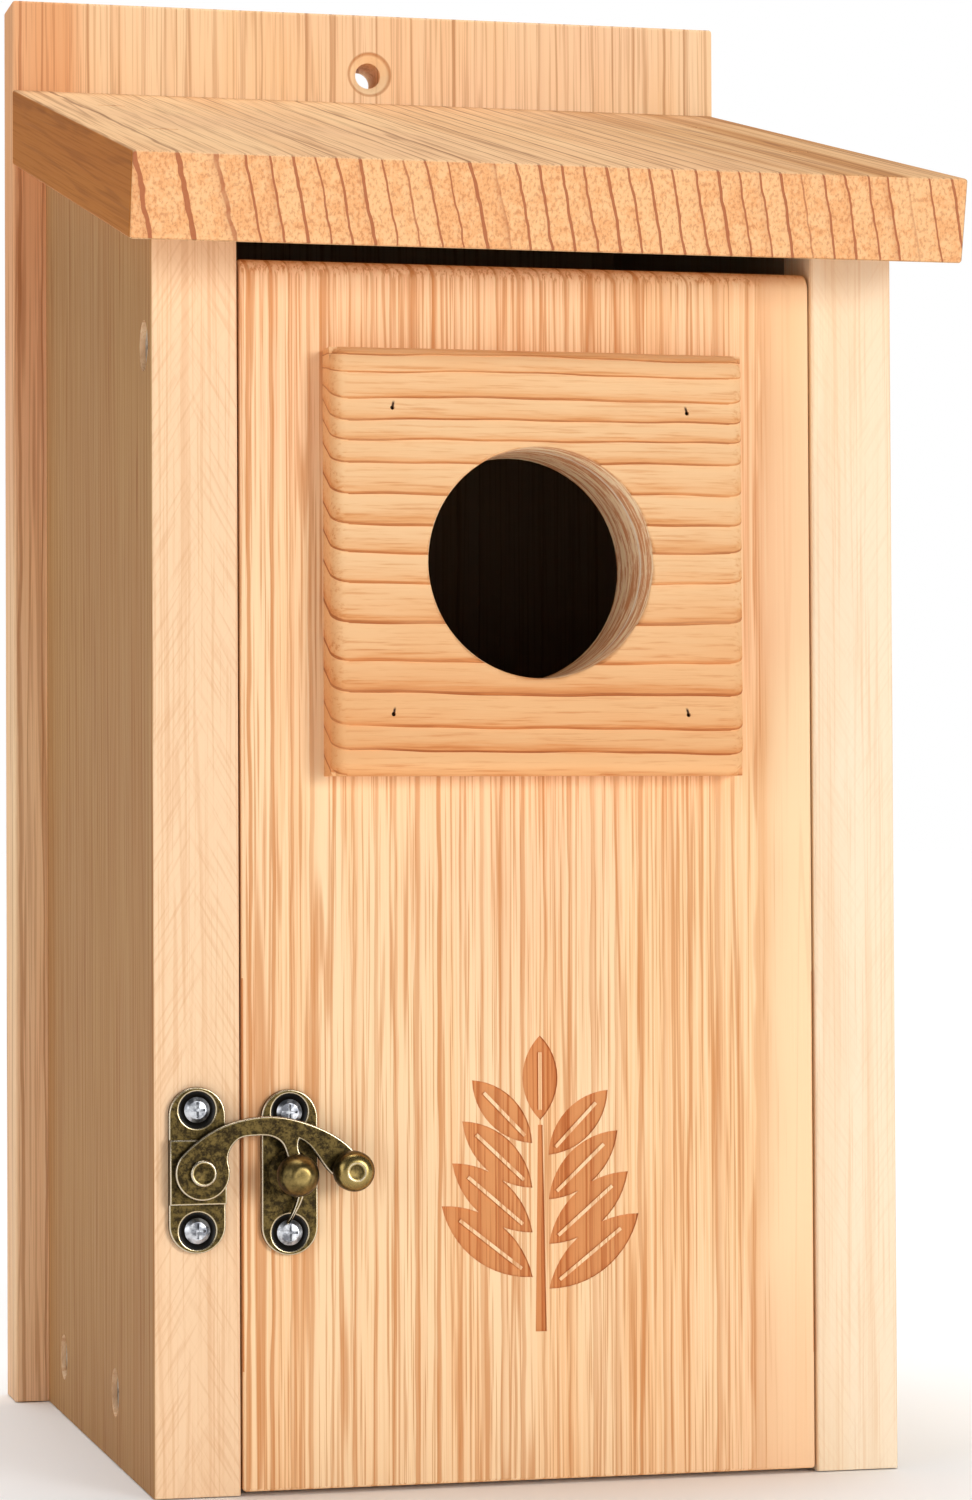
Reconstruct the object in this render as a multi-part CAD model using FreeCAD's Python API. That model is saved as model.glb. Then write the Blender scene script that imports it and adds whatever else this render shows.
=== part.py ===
import FreeCAD
import Part

"""Wooden nest box for a garden: six boards, a front panel that pivots, a guard plate round the
entrance and a small brass swing hook that keeps the front shut.

Millimetres. +X is the right-hand side seen from the front, +Y the back, +Z up. The origin is the
middle of the underside of the whole box, roof and back board included.
"""

import os
from math import cos, pi, radians, sin, tan

Vec = FreeCAD.Vector
ALONG_X = Vec(1, 0, 0)
BACKWARD = Vec(0, 1, 0)
DOWN = Vec(0, 0, -1)

# ---- Driving dimensions -------------------------------------------------------------------------

# Case
BOX_WIDTH = 127.0
BOX_DEPTH = 124.0
SIDE_THICK = 14.3
BACK_WIDTH = 139.7
BACK_HEIGHT = 267.5
BACK_THICK = 12.7
FLOOR_THICK = 12.7
FLOOR_RAISE = 5.0
DRAIN_RADIUS = 3.2
DRAIN_INSET = 14.0

# Roof
ROOF_THICK = 14.0
ROOF_SLOPE = radians(13.5)
ROOF_OVERHANG = 21.2
ROOF_BACK_TOP = 250.2

# Swinging front
DOOR_THICK = 14.3
DOOR_SIDE_GAP = 0.4
DOOR_BOTTOM = 0.5
DOOR_TOP = 201.9
DOOR_TOP_ROUND = 3.0
PIVOT_Z = 187.8
KERF_COUNT = 7
KERF_PITCH = 9.0
KERF_WIDTH = 2.4
KERF_DEPTH = 1.6
KERF_SPAN = 66.0
KERF_LOWEST = 58.0

# Entrance and its guard plate
ENTRANCE_RADIUS = 19.05
ENTRANCE_Z = 151.9
GUARD_SIZE = 70.0
GUARD_THICK = 8.0
GUARD_ROUND = 2.4
BRAD_OFFSET = 25.0
BRAD_RADIUS = 0.75
BRAD_LENGTH = 18.0
BRAD_POINT = 2.0
BRAD_SINK = 0.9
BRAD_HEAD_RADIUS = 0.86
BRAD_HEAD_THICK = 0.8
BRAD_HEAD_CONE = 0.2

# Engraved sprig
SPRIG_X = 1.3
SPRIG_BOTTOM = 25.0
SPRIG_HEIGHT = 49.0
SPRIG_DEPTH = 0.35
LEAF_LENGTH = 17.5
LEAF_WIDTH = 7.0
LEAF_PAIRS = 4
LEAF_TILT = 38.0
LEAF_OFFSET = 1.4
VEIN_WIDTH = 0.56
STEM_FOOT_WIDTH = 1.9
STEM_TOP_WIDTH = 0.8

# Hole for hanging the box, in the back board
HANG_Z = 255.9
HANG_RADIUS = 2.5
HANG_SINK_RADIUS = 4.25

# Wood screws and staples
SCREW_HEAD_RADIUS = 3.9
SCREW_HEAD_CHAMFER = 0.2
SCREW_HEAD_RIM = 0.25
SCREW_CROSS = (2.3, 0.7, 1.4)
SCREW_POINT = 2.5
SCREW_SHANK_RADIUS = 2.0
SCREW_SINK = 0.9
SINK_HOLE_RADIUS = 4.2
PIVOT_SHANK_RADIUS = 2.1
PIVOT_LENGTH = 37.0
CASE_SCREW_LENGTH = 32.0
FLOOR_SCREW_FRONT = (41.2, 12.0)
FLOOR_SCREW_REAR = (103.4, 10.75)
BACK_SCREW_HEIGHTS = (32.0, 112.0, 192.0)
STAPLE_CROWN = 5.0
STAPLE_WIRE = 1.1
STAPLE_LEG = 24.0
STAPLE_SINK = 0.35
STAPLE_SETBACKS = (30.0, 88.0)

# Latch
PLATE_WIDTH = 9.3
PLATE_LENGTH = 27.0
PLATE_THICK = 1.2
BASE_X = -56.45
BASE_Z = 53.0
BLOCK_HEIGHT = 10.5
BLOCK_THICK = 1.1
HOOK_X = -56.0
HOOK_Z = 52.75
ARM_GAP = 0.3
ARM_THICK = 1.4
EYE_RADIUS = 4.45
RIVET_RADIUS = 1.5
RIVET_HEAD_RADIUS = 2.15
RIVET_HEAD_HEIGHT = 0.8
RIVET_HEAD_RIM = 0.35
RIVET_HEAD_GAP = 0.15
KEEPER_X = -41.2
KEEPER_Z = 52.35
NECK_RADIUS = 1.0
POST_FLANGE_RADIUS = 3.7
POST_FLANGE_THICK = 0.8
BALL_RADIUS = 3.45
BALL_STANDOFF = 8.0
KNOB_RADIUS = 3.3
KNOB_LENGTH = 5.2
KNOB_REACH = 24.3
PLATE_SCREW_OFFSET = 9.8
PLATE_SCREW_HEAD = 2.1
PLATE_SCREW_SHANK = 1.1
PLATE_SCREW_LENGTH = 12.0
PLATE_SCREW_RISE = 0.25
PLATE_SCREW_POINT = 2.0
PLATE_SCREW_CROSS = (1.3, 0.45, 0.7)
PLATE_SINK_RADIUS = 3.1
PLATE_BORE_ROOM = 0.6

# Fits and edges
SNUG = 0.02
RUNNING = 0.05
HEAD_ROOM = 0.08
EDGE_ROUND = 0.6

# ---- Derived places -----------------------------------------------------------------------------

FRONT_Y = -(BOX_DEPTH + BACK_THICK - ROOF_OVERHANG) / 2
BACK_FACE_Y = FRONT_Y + BOX_DEPTH
REAR_Y = BACK_FACE_Y + BACK_THICK
HALF_BOX = BOX_WIDTH / 2
HALF_INSIDE = HALF_BOX - SIDE_THICK
SIDE_MIDDLE = HALF_BOX - SIDE_THICK / 2
PIVOT_Y = FRONT_Y + DOOR_THICK / 2
ROOF_TOP_FRONT = ROOF_BACK_TOP - (BOX_DEPTH + ROOF_OVERHANG) * tan(ROOF_SLOPE)
BLOCK_FACE_Y = FRONT_Y - PLATE_THICK - BLOCK_THICK
ARM_BACK_Y = BLOCK_FACE_Y - ARM_GAP
ARM_FRONT_Y = ARM_BACK_Y - ARM_THICK


def roof_underside(y):
    """Height of the roof's underside at a distance y."""
    front_y = FRONT_Y - ROOF_OVERHANG + ROOF_THICK * sin(ROOF_SLOPE)
    front_z = ROOF_TOP_FRONT - ROOF_THICK * cos(ROOF_SLOPE)
    return front_z + (y - front_y) * tan(ROOF_SLOPE)


# ---- Solids that many pieces share --------------------------------------------------------------

def block(x_span, y_span, z_span):
    """A box between three pairs of limits."""
    lows = [min(span) for span in (x_span, y_span, z_span)]
    sizes = [max(span) - min(span) for span in (x_span, y_span, z_span)]
    return Part.makeBox(sizes[0], sizes[1], sizes[2], Vec(*lows))


def side_profile(outline, x_span):
    """A prism along X on an outline of (y, z) points."""
    points = [Vec(x_span[0], y, z) for y, z in outline]
    face = Part.Face(Part.makePolygon(points + points[:1]))
    return face.extrude(Vec(x_span[1] - x_span[0], 0, 0))


def turned(profile, at, direction):
    """A solid of revolution: profile is (radius, depth) pairs, depth running along direction."""
    points = [Vec(radius, 0, depth) for radius, depth in profile]
    face = Part.Face(Part.makePolygon(points + points[:1]))
    solid = face.revolve(Vec(0, 0, 0), Vec(0, 0, 1), 360)
    solid.Placement = FreeCAD.Placement(at, FreeCAD.Rotation(Vec(0, 0, 1), direction))
    return solid


def rod(at, direction, radius, length):
    """A plain cylinder from a point along a direction."""
    return Part.makeCylinder(radius, length, at, direction)


def soften(solid, radius, wanted):
    """Round the straight edges for which wanted(edge) is true."""
    edges = [edge for edge in solid.Edges if isinstance(edge.Curve, Part.Line) and wanted(edge)]
    return solid.makeFillet(radius, edges)


def near(value, target):
    """True where two lengths are the same to a hundredth."""
    return abs(value - target) < 0.01


def off_planes(edge, planes):
    """True unless the whole edge lies in one of the planes, given as (axis letter, value)."""
    box = edge.BoundBox
    for letter, value in planes:
        if near(getattr(box, letter + "Min"), value) and near(getattr(box, letter + "Max"), value):
            return False
    return True


def save(name, solid):
    """Write one sub-part."""
    solid.exportStep("parts/" + name + ".step")


# ---- Screws, brads and staples ------------------------------------------------------------------

def wood_screw(at, direction, shank_radius, length):
    """A countersunk wood screw with a cross recess and a tapered point."""
    cone_end = SCREW_HEAD_RIM + SCREW_HEAD_RADIUS - shank_radius
    point_start = length - SCREW_POINT * shank_radius
    profile = [(0, 0), (SCREW_HEAD_RADIUS - SCREW_HEAD_CHAMFER, 0), (SCREW_HEAD_RADIUS, SCREW_HEAD_RIM),
               (shank_radius, cone_end), (shank_radius, point_start), (0, length)]
    screw = turned(profile, at, direction)
    return screw.cut(cross_recess(at, direction, SCREW_CROSS))


def screw_hole(surface, direction, shank_radius, length):
    """The hole that a sunk wood screw needs, from a point on the board's surface."""
    bore = shank_radius + SNUG
    cone_start = SCREW_SINK + SCREW_HEAD_RIM + HEAD_ROOM
    end = SCREW_SINK + length + HEAD_ROOM
    profile = [(0, -1), (SINK_HOLE_RADIUS, -1), (SINK_HOLE_RADIUS, cone_start),
               (bore, cone_start + SINK_HOLE_RADIUS - bore), (bore, end), (0, end)]
    return turned(profile, surface, direction)


def cross_recess(at, direction, size):
    """A cross-shaped recess in a screw's head; size is its reach, its width and its depth."""
    radius, width, depth = size
    bars = [Part.makeBox(2 * radius, width, depth, Vec(-radius, -width / 2, 0)),
            Part.makeBox(width, 2 * radius, depth, Vec(-width / 2, -radius, 0))]
    cross = bars[0].fuse(bars[1])
    cross.Placement = FreeCAD.Placement(at, FreeCAD.Rotation(Vec(0, 0, 1), direction))
    return cross


def floor_screw_places():
    """Surface points and directions of the screws through the sides into the floor."""
    places = {}
    for side, sign in (("left", -1), ("right", 1)):
        for end, (setback, height) in (("front", FLOOR_SCREW_FRONT), ("rear", FLOOR_SCREW_REAR)):
            surface = Vec(sign * HALF_BOX, FRONT_Y + setback, height)
            places["floor_screw_" + side + "_" + end] = (surface, Vec(-sign, 0, 0))
    return places


def back_screw_places():
    """Surface points and directions of the screws through the back board."""
    forward = Vec(0, -1, 0)
    places = {}
    for side, x in (("left", -SIDE_MIDDLE), ("right", SIDE_MIDDLE)):
        for number, height in enumerate(BACK_SCREW_HEIGHTS, start=1):
            places["back_screw_" + side + "_" + str(number)] = (Vec(x, REAR_Y, height), forward)
    floor_middle = FLOOR_RAISE + FLOOR_THICK / 2
    places["back_screw_floor"] = (Vec(0, REAR_Y, floor_middle), forward)
    return places


def pivot_screw_places():
    """Surface points and directions of the two screws that the front turns on."""
    places = {}
    for side, sign in (("left", -1), ("right", 1)):
        places["pivot_screw_" + side] = (Vec(sign * HALF_BOX, PIVOT_Y, PIVOT_Z), Vec(-sign, 0, 0))
    return places


def brad_places():
    """Points on the guard's face where its brads go in."""
    places = {}
    for row, dz in (("lower", -BRAD_OFFSET), ("upper", BRAD_OFFSET)):
        for side, dx in (("left", -BRAD_OFFSET), ("right", BRAD_OFFSET)):
            at = Vec(dx, FRONT_Y - GUARD_THICK, ENTRANCE_Z + dz)
            places["guard_brad_" + row + "_" + side] = at
    return places


def guard_brad(at):
    """A brad with a small flat head, set just under the guard's ridges."""
    profile = [(0, 0), (BRAD_HEAD_RADIUS, 0), (BRAD_HEAD_RADIUS, BRAD_HEAD_THICK),
               (BRAD_RADIUS, BRAD_HEAD_THICK + BRAD_HEAD_CONE), (BRAD_RADIUS, BRAD_LENGTH - BRAD_POINT),
               (0, BRAD_LENGTH)]
    return turned(profile, at + BACKWARD * BRAD_SINK, BACKWARD)


def brad_hole(at):
    """The hole a brad leaves in the guard and the front."""
    head = BRAD_HEAD_RADIUS + SNUG
    shank = BRAD_RADIUS + SNUG
    cone_start = BRAD_SINK + BRAD_HEAD_THICK + RUNNING
    end = BRAD_SINK + BRAD_LENGTH + HEAD_ROOM
    profile = [(0, -1), (head, -1), (head, cone_start), (shank, cone_start + BRAD_HEAD_CONE),
               (shank, end), (0, end)]
    return turned(profile, at, BACKWARD)


def staple_frames():
    """Points on the roof's top face over the side boards, where the staples are driven."""
    frames = {}
    for side, x in (("left", -SIDE_MIDDLE), ("right", SIDE_MIDDLE)):
        for number, setback in enumerate(STAPLE_SETBACKS, start=1):
            y = FRONT_Y + setback
            z = ROOF_BACK_TOP - (BACK_FACE_Y - y) * tan(ROOF_SLOPE)
            frames["roof_staple_" + side + "_" + str(number)] = Vec(x, y, z)
    return frames


def staple(at, grow):
    """A narrow crown staple driven square to the roof; grow swells it into the slot it needs."""
    half = STAPLE_CROWN / 2 + grow
    wire = STAPLE_WIRE / 2 + grow
    top = -STAPLE_SINK + (1.0 if grow else 0.0)
    bottom = -STAPLE_SINK - STAPLE_LEG - grow
    inside = -STAPLE_SINK - STAPLE_WIRE - grow
    crown = block((-half, half), (-wire, wire), (inside, top))
    legs = [block((sign * half, sign * (half - 2 * wire)), (-wire, wire), (bottom, top))
            for sign in (-1, 1)]
    solid = crown.fuse(legs).removeSplitter()
    solid.Placement = FreeCAD.Placement(at, FreeCAD.Rotation(ALONG_X, ROOF_SLOPE * 180 / pi))
    return solid


# ---- Boards -------------------------------------------------------------------------------------

def back_board():
    """The tall back board, with its hanging hole and screw holes."""
    board = block((-BACK_WIDTH / 2, BACK_WIDTH / 2), (BACK_FACE_Y, REAR_Y), (0, BACK_HEIGHT))
    board = soften(board, EDGE_ROUND, lambda edge: off_planes(edge, [("Z", 0)]))
    sink = HANG_SINK_RADIUS - HANG_RADIUS
    hang = [(0, -1), (HANG_SINK_RADIUS + 1, -1), (HANG_RADIUS, sink), (HANG_RADIUS, BACK_THICK + 1),
            (0, BACK_THICK + 1)]
    cuts = [turned(hang, Vec(0, BACK_FACE_Y, HANG_Z), BACKWARD)]
    for surface, direction in back_screw_places().values():
        cuts.append(screw_hole(surface, direction, SCREW_SHANK_RADIUS, CASE_SCREW_LENGTH))
    return board.cut(cuts)


def side_board(sign):
    """One side board: sign is -1 on the left and 1 on the right."""
    outline = [(FRONT_Y, 0), (BACK_FACE_Y, 0), (BACK_FACE_Y, roof_underside(BACK_FACE_Y)),
               (FRONT_Y, roof_underside(FRONT_Y))]
    board = side_profile(outline, (sign * HALF_INSIDE, sign * HALF_BOX))
    board = soften(board, EDGE_ROUND, lambda edge: near(edge.BoundBox.YMin, FRONT_Y)
                   and near(edge.BoundBox.YMax, FRONT_Y) and edge.Length > SIDE_THICK + 1)
    cuts = []
    for surface, direction in floor_screw_places().values():
        if surface.x * sign > 0:
            cuts.append(screw_hole(surface, direction, SCREW_SHANK_RADIUS, CASE_SCREW_LENGTH))
    for surface, direction in pivot_screw_places().values():
        if surface.x * sign > 0:
            cuts.append(screw_hole(surface, direction, PIVOT_SHANK_RADIUS, PIVOT_LENGTH))
    for surface, direction in back_screw_places().values():
        cuts.append(screw_hole(surface, direction, SCREW_SHANK_RADIUS, CASE_SCREW_LENGTH))
    for at in staple_frames().values():
        cuts.append(staple(at, SNUG))
    if sign < 0:
        for at in plate_screw_places(BASE_X, BASE_Z).values():
            cuts.append(plate_screw_pilot(at))
    return board.cut(cuts)


def floor_board():
    """The floor, set up inside the case, with a drain hole near each corner."""
    front = FRONT_Y + DOOR_THICK + DOOR_SIDE_GAP
    top = FLOOR_RAISE + FLOOR_THICK
    board = block((-HALF_INSIDE, HALF_INSIDE), (front, BACK_FACE_Y), (FLOOR_RAISE, top))
    cuts = []
    for x in (-HALF_INSIDE + DRAIN_INSET, HALF_INSIDE - DRAIN_INSET):
        for y in (front + DRAIN_INSET, BACK_FACE_Y - DRAIN_INSET):
            cuts.append(rod(Vec(x, y, top + 1), DOWN, DRAIN_RADIUS, FLOOR_THICK + 2))
    for surface, direction in {**floor_screw_places(), **back_screw_places()}.values():
        cuts.append(screw_hole(surface, direction, SCREW_SHANK_RADIUS, CASE_SCREW_LENGTH))
    return board.cut(cuts)


def roof_board():
    """The sloping roof, with a square-cut front edge and its back end cut to meet the back board."""
    front_y = FRONT_Y - ROOF_OVERHANG
    outline = [(front_y, ROOF_TOP_FRONT), (BACK_FACE_Y, ROOF_BACK_TOP),
               (BACK_FACE_Y, roof_underside(BACK_FACE_Y)),
               (front_y + ROOF_THICK * sin(ROOF_SLOPE), ROOF_TOP_FRONT - ROOF_THICK * cos(ROOF_SLOPE))]
    board = side_profile(outline, (-BACK_WIDTH / 2, BACK_WIDTH / 2))
    board = soften(board, EDGE_ROUND, lambda edge: off_planes(edge, [("Y", BACK_FACE_Y)]))
    return board.cut([staple(at, SNUG) for at in staple_frames().values()])


# ---- Front, guard and engraving -----------------------------------------------------------------

def front_panel():
    """The pivoting front, with its entrance, toe-hold kerfs inside and engraved sprig outside."""
    half = HALF_INSIDE - DOOR_SIDE_GAP
    y_span = (FRONT_Y, FRONT_Y + DOOR_THICK)
    panel = block((-half, half), y_span, (DOOR_BOTTOM, DOOR_TOP))
    panel = soften(panel, DOOR_TOP_ROUND, lambda edge: near(edge.BoundBox.ZMin, DOOR_TOP)
                   and near(edge.Length, 2 * half))
    panel = soften(panel, EDGE_ROUND, lambda edge: edge.BoundBox.ZMin < DOOR_BOTTOM + 0.01)
    cuts = [rod(Vec(0, FRONT_Y - 1, ENTRANCE_Z), BACKWARD, ENTRANCE_RADIUS, DOOR_THICK + 2)]
    for number in range(KERF_COUNT):
        z = KERF_LOWEST + number * KERF_PITCH
        cuts.append(block((-KERF_SPAN / 2, KERF_SPAN / 2), (y_span[1] - KERF_DEPTH, y_span[1] + 1),
                          (z, z + KERF_WIDTH)))
    cuts += [brad_hole(at) for at in brad_places().values()]
    cuts += [plate_screw_pilot(at) for at in plate_screw_places(KEEPER_X, KEEPER_Z).values()]
    for surface, direction in pivot_screw_places().values():
        cuts.append(rod(surface, direction, PIVOT_SHANK_RADIUS + RUNNING, PIVOT_LENGTH + 2))
    return panel.cut(cuts + sprig())


def leaf(base_x, base_z, angle, length, width):
    """A pointed leaf split by a thin vein, standing proud of the panel's face to cut into it."""
    lens_top = Part.Arc(Vec(0, 0, 0), Vec(length * 0.45, 0, width / 2), Vec(length, 0, 0))
    lens_low = Part.Arc(Vec(length, 0, 0), Vec(length * 0.45, 0, -width / 2), Vec(0, 0, 0))
    face = Part.Face(Part.Wire([lens_top.toShape(), lens_low.toShape()]))
    blade = face.extrude(Vec(0, 1 + SPRIG_DEPTH, 0))
    vein = block((length * 0.12, length * 0.8), (-1, 3), (-VEIN_WIDTH / 2, VEIN_WIDTH / 2))
    blade = blade.cut(vein)
    blade.rotate(Vec(0, 0, 0), Vec(0, -1, 0), angle)
    blade.translate(Vec(base_x, FRONT_Y - 1, base_z))
    return blade


def sprig():
    """The cuts of the engraved sprig: a tapering stem, pairs of leaves and one at the tip."""
    stem_top = SPRIG_HEIGHT - LEAF_LENGTH * 0.85
    foot, tip = STEM_FOOT_WIDTH / 2, STEM_TOP_WIDTH / 2
    points = [(-foot, 0), (foot, 0), (tip, stem_top), (-tip, stem_top)]
    corners = [Vec(SPRIG_X + x, FRONT_Y - 1, SPRIG_BOTTOM + z) for x, z in points]
    cuts = [Part.Face(Part.makePolygon(corners + corners[:1])).extrude(Vec(0, 1 + SPRIG_DEPTH, 0))]
    for pair in range(LEAF_PAIRS):
        share = pair / (LEAF_PAIRS - 1)
        z = SPRIG_BOTTOM + 7.0 + share * (stem_top - 12.0)
        length = LEAF_LENGTH * (1.12 - 0.28 * share)
        width = LEAF_WIDTH * (1.0 - 0.2 * share)
        angle = LEAF_TILT + 8.0 * share
        cuts.append(leaf(SPRIG_X + LEAF_OFFSET, z, angle, length, width))
        cuts.append(leaf(SPRIG_X - LEAF_OFFSET, z + 2.0, 180 - angle, length, width))
    cuts.append(leaf(SPRIG_X, SPRIG_BOTTOM + stem_top + 0.8, 90, LEAF_LENGTH * 0.8, LEAF_WIDTH * 0.85))
    return cuts


def guard_plate():
    """The square wooden guard round the entrance."""
    half = GUARD_SIZE / 2
    plate = block((-half, half), (FRONT_Y - GUARD_THICK, FRONT_Y), (ENTRANCE_Z - half, ENTRANCE_Z + half))
    plate = soften(plate, GUARD_ROUND, lambda edge: near(edge.BoundBox.YMax, FRONT_Y - GUARD_THICK))
    cuts = [rod(Vec(0, FRONT_Y - GUARD_THICK - 1, ENTRANCE_Z), BACKWARD, ENTRANCE_RADIUS, GUARD_THICK + 2)]
    cuts += [brad_hole(at) for at in brad_places().values()]
    return plate.cut(cuts)


# ---- Latch --------------------------------------------------------------------------------------

def plate_screw_places(x, z):
    """Points on the wood behind a latch plate's two screws."""
    return {"lower": Vec(x, FRONT_Y, z - PLATE_SCREW_OFFSET),
            "upper": Vec(x, FRONT_Y, z + PLATE_SCREW_OFFSET)}


def plate_screw(at):
    """A small screw with a raised cross head, sunk in a latch plate."""
    neck = PLATE_THICK + PLATE_SCREW_RISE
    front = at - BACKWARD * neck
    profile = [(0, 0), (0.7 * PLATE_SCREW_HEAD, 0.1), (PLATE_SCREW_HEAD, 0.5), (PLATE_SCREW_SHANK, neck),
               (PLATE_SCREW_SHANK, PLATE_SCREW_LENGTH - PLATE_SCREW_POINT), (0, PLATE_SCREW_LENGTH)]
    screw = turned(profile, front, BACKWARD)
    return screw.cut(cross_recess(front, BACKWARD, PLATE_SCREW_CROSS))


def plate_screw_pilot(at):
    """The hole a latch plate's screw leaves in the wood."""
    return rod(at - BACKWARD, BACKWARD, PLATE_SCREW_SHANK + SNUG, PLATE_SCREW_LENGTH + 1)


def round_ended_plate(x, z):
    """A latch plate with full round ends and a dished hole for each screw."""
    half = PLATE_WIDTH / 2
    straight = PLATE_LENGTH / 2 - half
    front = FRONT_Y - PLATE_THICK
    middle = block((x - half, x + half), (front, FRONT_Y), (z - straight, z + straight))
    ends = [rod(Vec(x, front, z + sign * straight), BACKWARD, half, PLATE_THICK) for sign in (-1, 1)]
    plate = middle.fuse(ends).removeSplitter()
    bore = PLATE_SCREW_SHANK + PLATE_BORE_ROOM
    dish = [(0, -1), (PLATE_SINK_RADIUS + 0.5, -1), (PLATE_SINK_RADIUS, 0), (bore, PLATE_THICK),
            (bore, PLATE_THICK + 1), (0, PLATE_THICK + 1)]
    cuts = [turned(dish, Vec(at.x, front, at.z), BACKWARD) for at in plate_screw_places(x, z).values()]
    return plate.cut(cuts)


def latch_base():
    """The hook's plate on the side board's edge, with the raised square that the hook turns on."""
    plate = round_ended_plate(BASE_X, BASE_Z)
    half = PLATE_WIDTH / 2
    raised = block((BASE_X - half, BASE_X + half), (BLOCK_FACE_Y, FRONT_Y - PLATE_THICK),
                   (HOOK_Z - BLOCK_HEIGHT / 2, HOOK_Z + BLOCK_HEIGHT / 2))
    plate = plate.fuse(raised).removeSplitter()
    return plate.cut(rod(Vec(HOOK_X, FRONT_Y + 1, HOOK_Z), -BACKWARD, RIVET_RADIUS + SNUG, 8))


def latch_rivet():
    """The rivet that the hook turns on, domed in front."""
    back = Vec(HOOK_X, FRONT_Y, HOOK_Z)
    head = FRONT_Y - ARM_FRONT_Y + RIVET_HEAD_GAP
    profile = [(0, 0), (RIVET_RADIUS, 0), (RIVET_RADIUS, head), (RIVET_HEAD_RADIUS, head),
               (RIVET_HEAD_RADIUS, head + RIVET_HEAD_RIM),
               (0.75 * RIVET_HEAD_RADIUS, head + 0.85 * RIVET_HEAD_HEIGHT), (0, head + RIVET_HEAD_HEIGHT)]
    return turned(profile, back, -BACKWARD)


def spline(points):
    """A smooth edge through (u, w) points measured from the hook's pivot, on the arm's back face."""
    curve = Part.BSplineCurve()
    curve.interpolate([Vec(HOOK_X + u, ARM_BACK_Y, HOOK_Z + w) for u, w in points])
    return curve.toShape()


def round_pivot(radius, degrees):
    """A (u, w) point at a radius and an angle round the hook's pivot."""
    return (radius * cos(radians(degrees)), radius * sin(radians(degrees)))


def arm_blank():
    """The hook's flat outline: over the post, down round its neck, and out to the knob."""
    claw_inside = NECK_RADIUS + 0.4
    sweep = KEEPER_X - HOOK_X + claw_inside
    neck_u, neck_w = KEEPER_X - HOOK_X, KEEPER_Z - HOOK_Z
    claw_tip = round_pivot(sweep, -31)
    outside = [round_pivot(EYE_RADIUS, 142), (-0.8, 5.15), (3.4, 7.55), (6.2, 8.4), (11.4, 8.95),
               (18.25, 7.35), (24.6, 3.4), (26.6, 0.4)]
    under_tail = [(26.6, 0.4), (24.2, -2.1), (21.6, -0.9), (20.0, 0.8), (16.5, 4.9), (15.9, 5.2)]
    claw_outside = [(15.9, 5.2), (15.75, 3.6), (17.0, 0.6), (17.1, -1.6), (16.2, -5.0), (14.3, -8.3)]
    claw_end = [(14.3, -8.3), (13.9, -8.6), claw_tip]
    claw_inner = [claw_tip, round_pivot(sweep, -20), round_pivot(sweep, -10), round_pivot(sweep, -1.4)]
    over_neck = [claw_inner[-1], (neck_u + claw_inside * 0.7, neck_w + claw_inside * 0.8),
                 (neck_u - 0.1, neck_w + claw_inside + 0.3), (13.75, 3.0), (13.0, 4.6), (11.2, 5.7),
                 (8.6, 5.85), (6.2, 5.5), (4.7, 4.1), round_pivot(EYE_RADIUS, 15)]
    to_eye = Part.Arc(*[Vec(HOOK_X + u, ARM_BACK_Y, HOOK_Z + w) for u, w in
                        (round_pivot(EYE_RADIUS, 15), round_pivot(EYE_RADIUS, -100),
                         round_pivot(EYE_RADIUS, 142))])
    curves = [outside, under_tail, claw_outside, claw_end, claw_inner, over_neck]
    edges = [spline(points) for points in curves] + [to_eye.toShape()]
    return Part.Face(Part.Wire(edges)).extrude(-BACKWARD * ARM_THICK)


def hook_arm():
    """The swing hook's arm, bored for its rivet and for the knob's stem."""
    bores = [rod(Vec(HOOK_X, FRONT_Y, HOOK_Z), -BACKWARD, RIVET_RADIUS + RUNNING, 8),
             rod(Vec(HOOK_X + KNOB_REACH, FRONT_Y, HOOK_Z), -BACKWARD, NECK_RADIUS + SNUG, 8)]
    return arm_blank().cut(bores)


def hook_knob():
    """The thumb knob riveted to the end of the arm."""
    at = Vec(HOOK_X + KNOB_REACH, ARM_BACK_Y, HOOK_Z)
    face = ARM_THICK
    profile = [(0, 0), (NECK_RADIUS, 0), (NECK_RADIUS, face), (0.62 * KNOB_RADIUS, face),
               (0.9 * KNOB_RADIUS, face + 0.7), (KNOB_RADIUS, face + 1.8),
               (KNOB_RADIUS, face + KNOB_LENGTH - 1.9), (0.88 * KNOB_RADIUS, face + KNOB_LENGTH - 0.8),
               (0.6 * KNOB_RADIUS, face + KNOB_LENGTH - 0.15), (0, face + KNOB_LENGTH)]
    return turned(profile, at, -BACKWARD)


def keeper_plate():
    """The plate on the front panel that carries the post."""
    plate = round_ended_plate(KEEPER_X, KEEPER_Z)
    return plate.cut(rod(Vec(KEEPER_X, FRONT_Y + 1, KEEPER_Z), -BACKWARD, NECK_RADIUS + SNUG, 6))


def keeper_post():
    """The ball-ended post that the hook drops over."""
    back = Vec(KEEPER_X, FRONT_Y, KEEPER_Z)
    flange_front = PLATE_THICK + POST_FLANGE_THICK
    flange = [(0, 0), (NECK_RADIUS, 0), (NECK_RADIUS, PLATE_THICK), (POST_FLANGE_RADIUS, PLATE_THICK),
              (POST_FLANGE_RADIUS - 0.3, flange_front), (NECK_RADIUS, flange_front),
              (NECK_RADIUS, BALL_STANDOFF), (0, BALL_STANDOFF)]
    post = turned(flange, back, -BACKWARD)
    ball = Part.makeSphere(BALL_RADIUS, Vec(KEEPER_X, FRONT_Y - BALL_STANDOFF, KEEPER_Z))
    return post.fuse(ball)


# ---- Everything ---------------------------------------------------------------------------------

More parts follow.
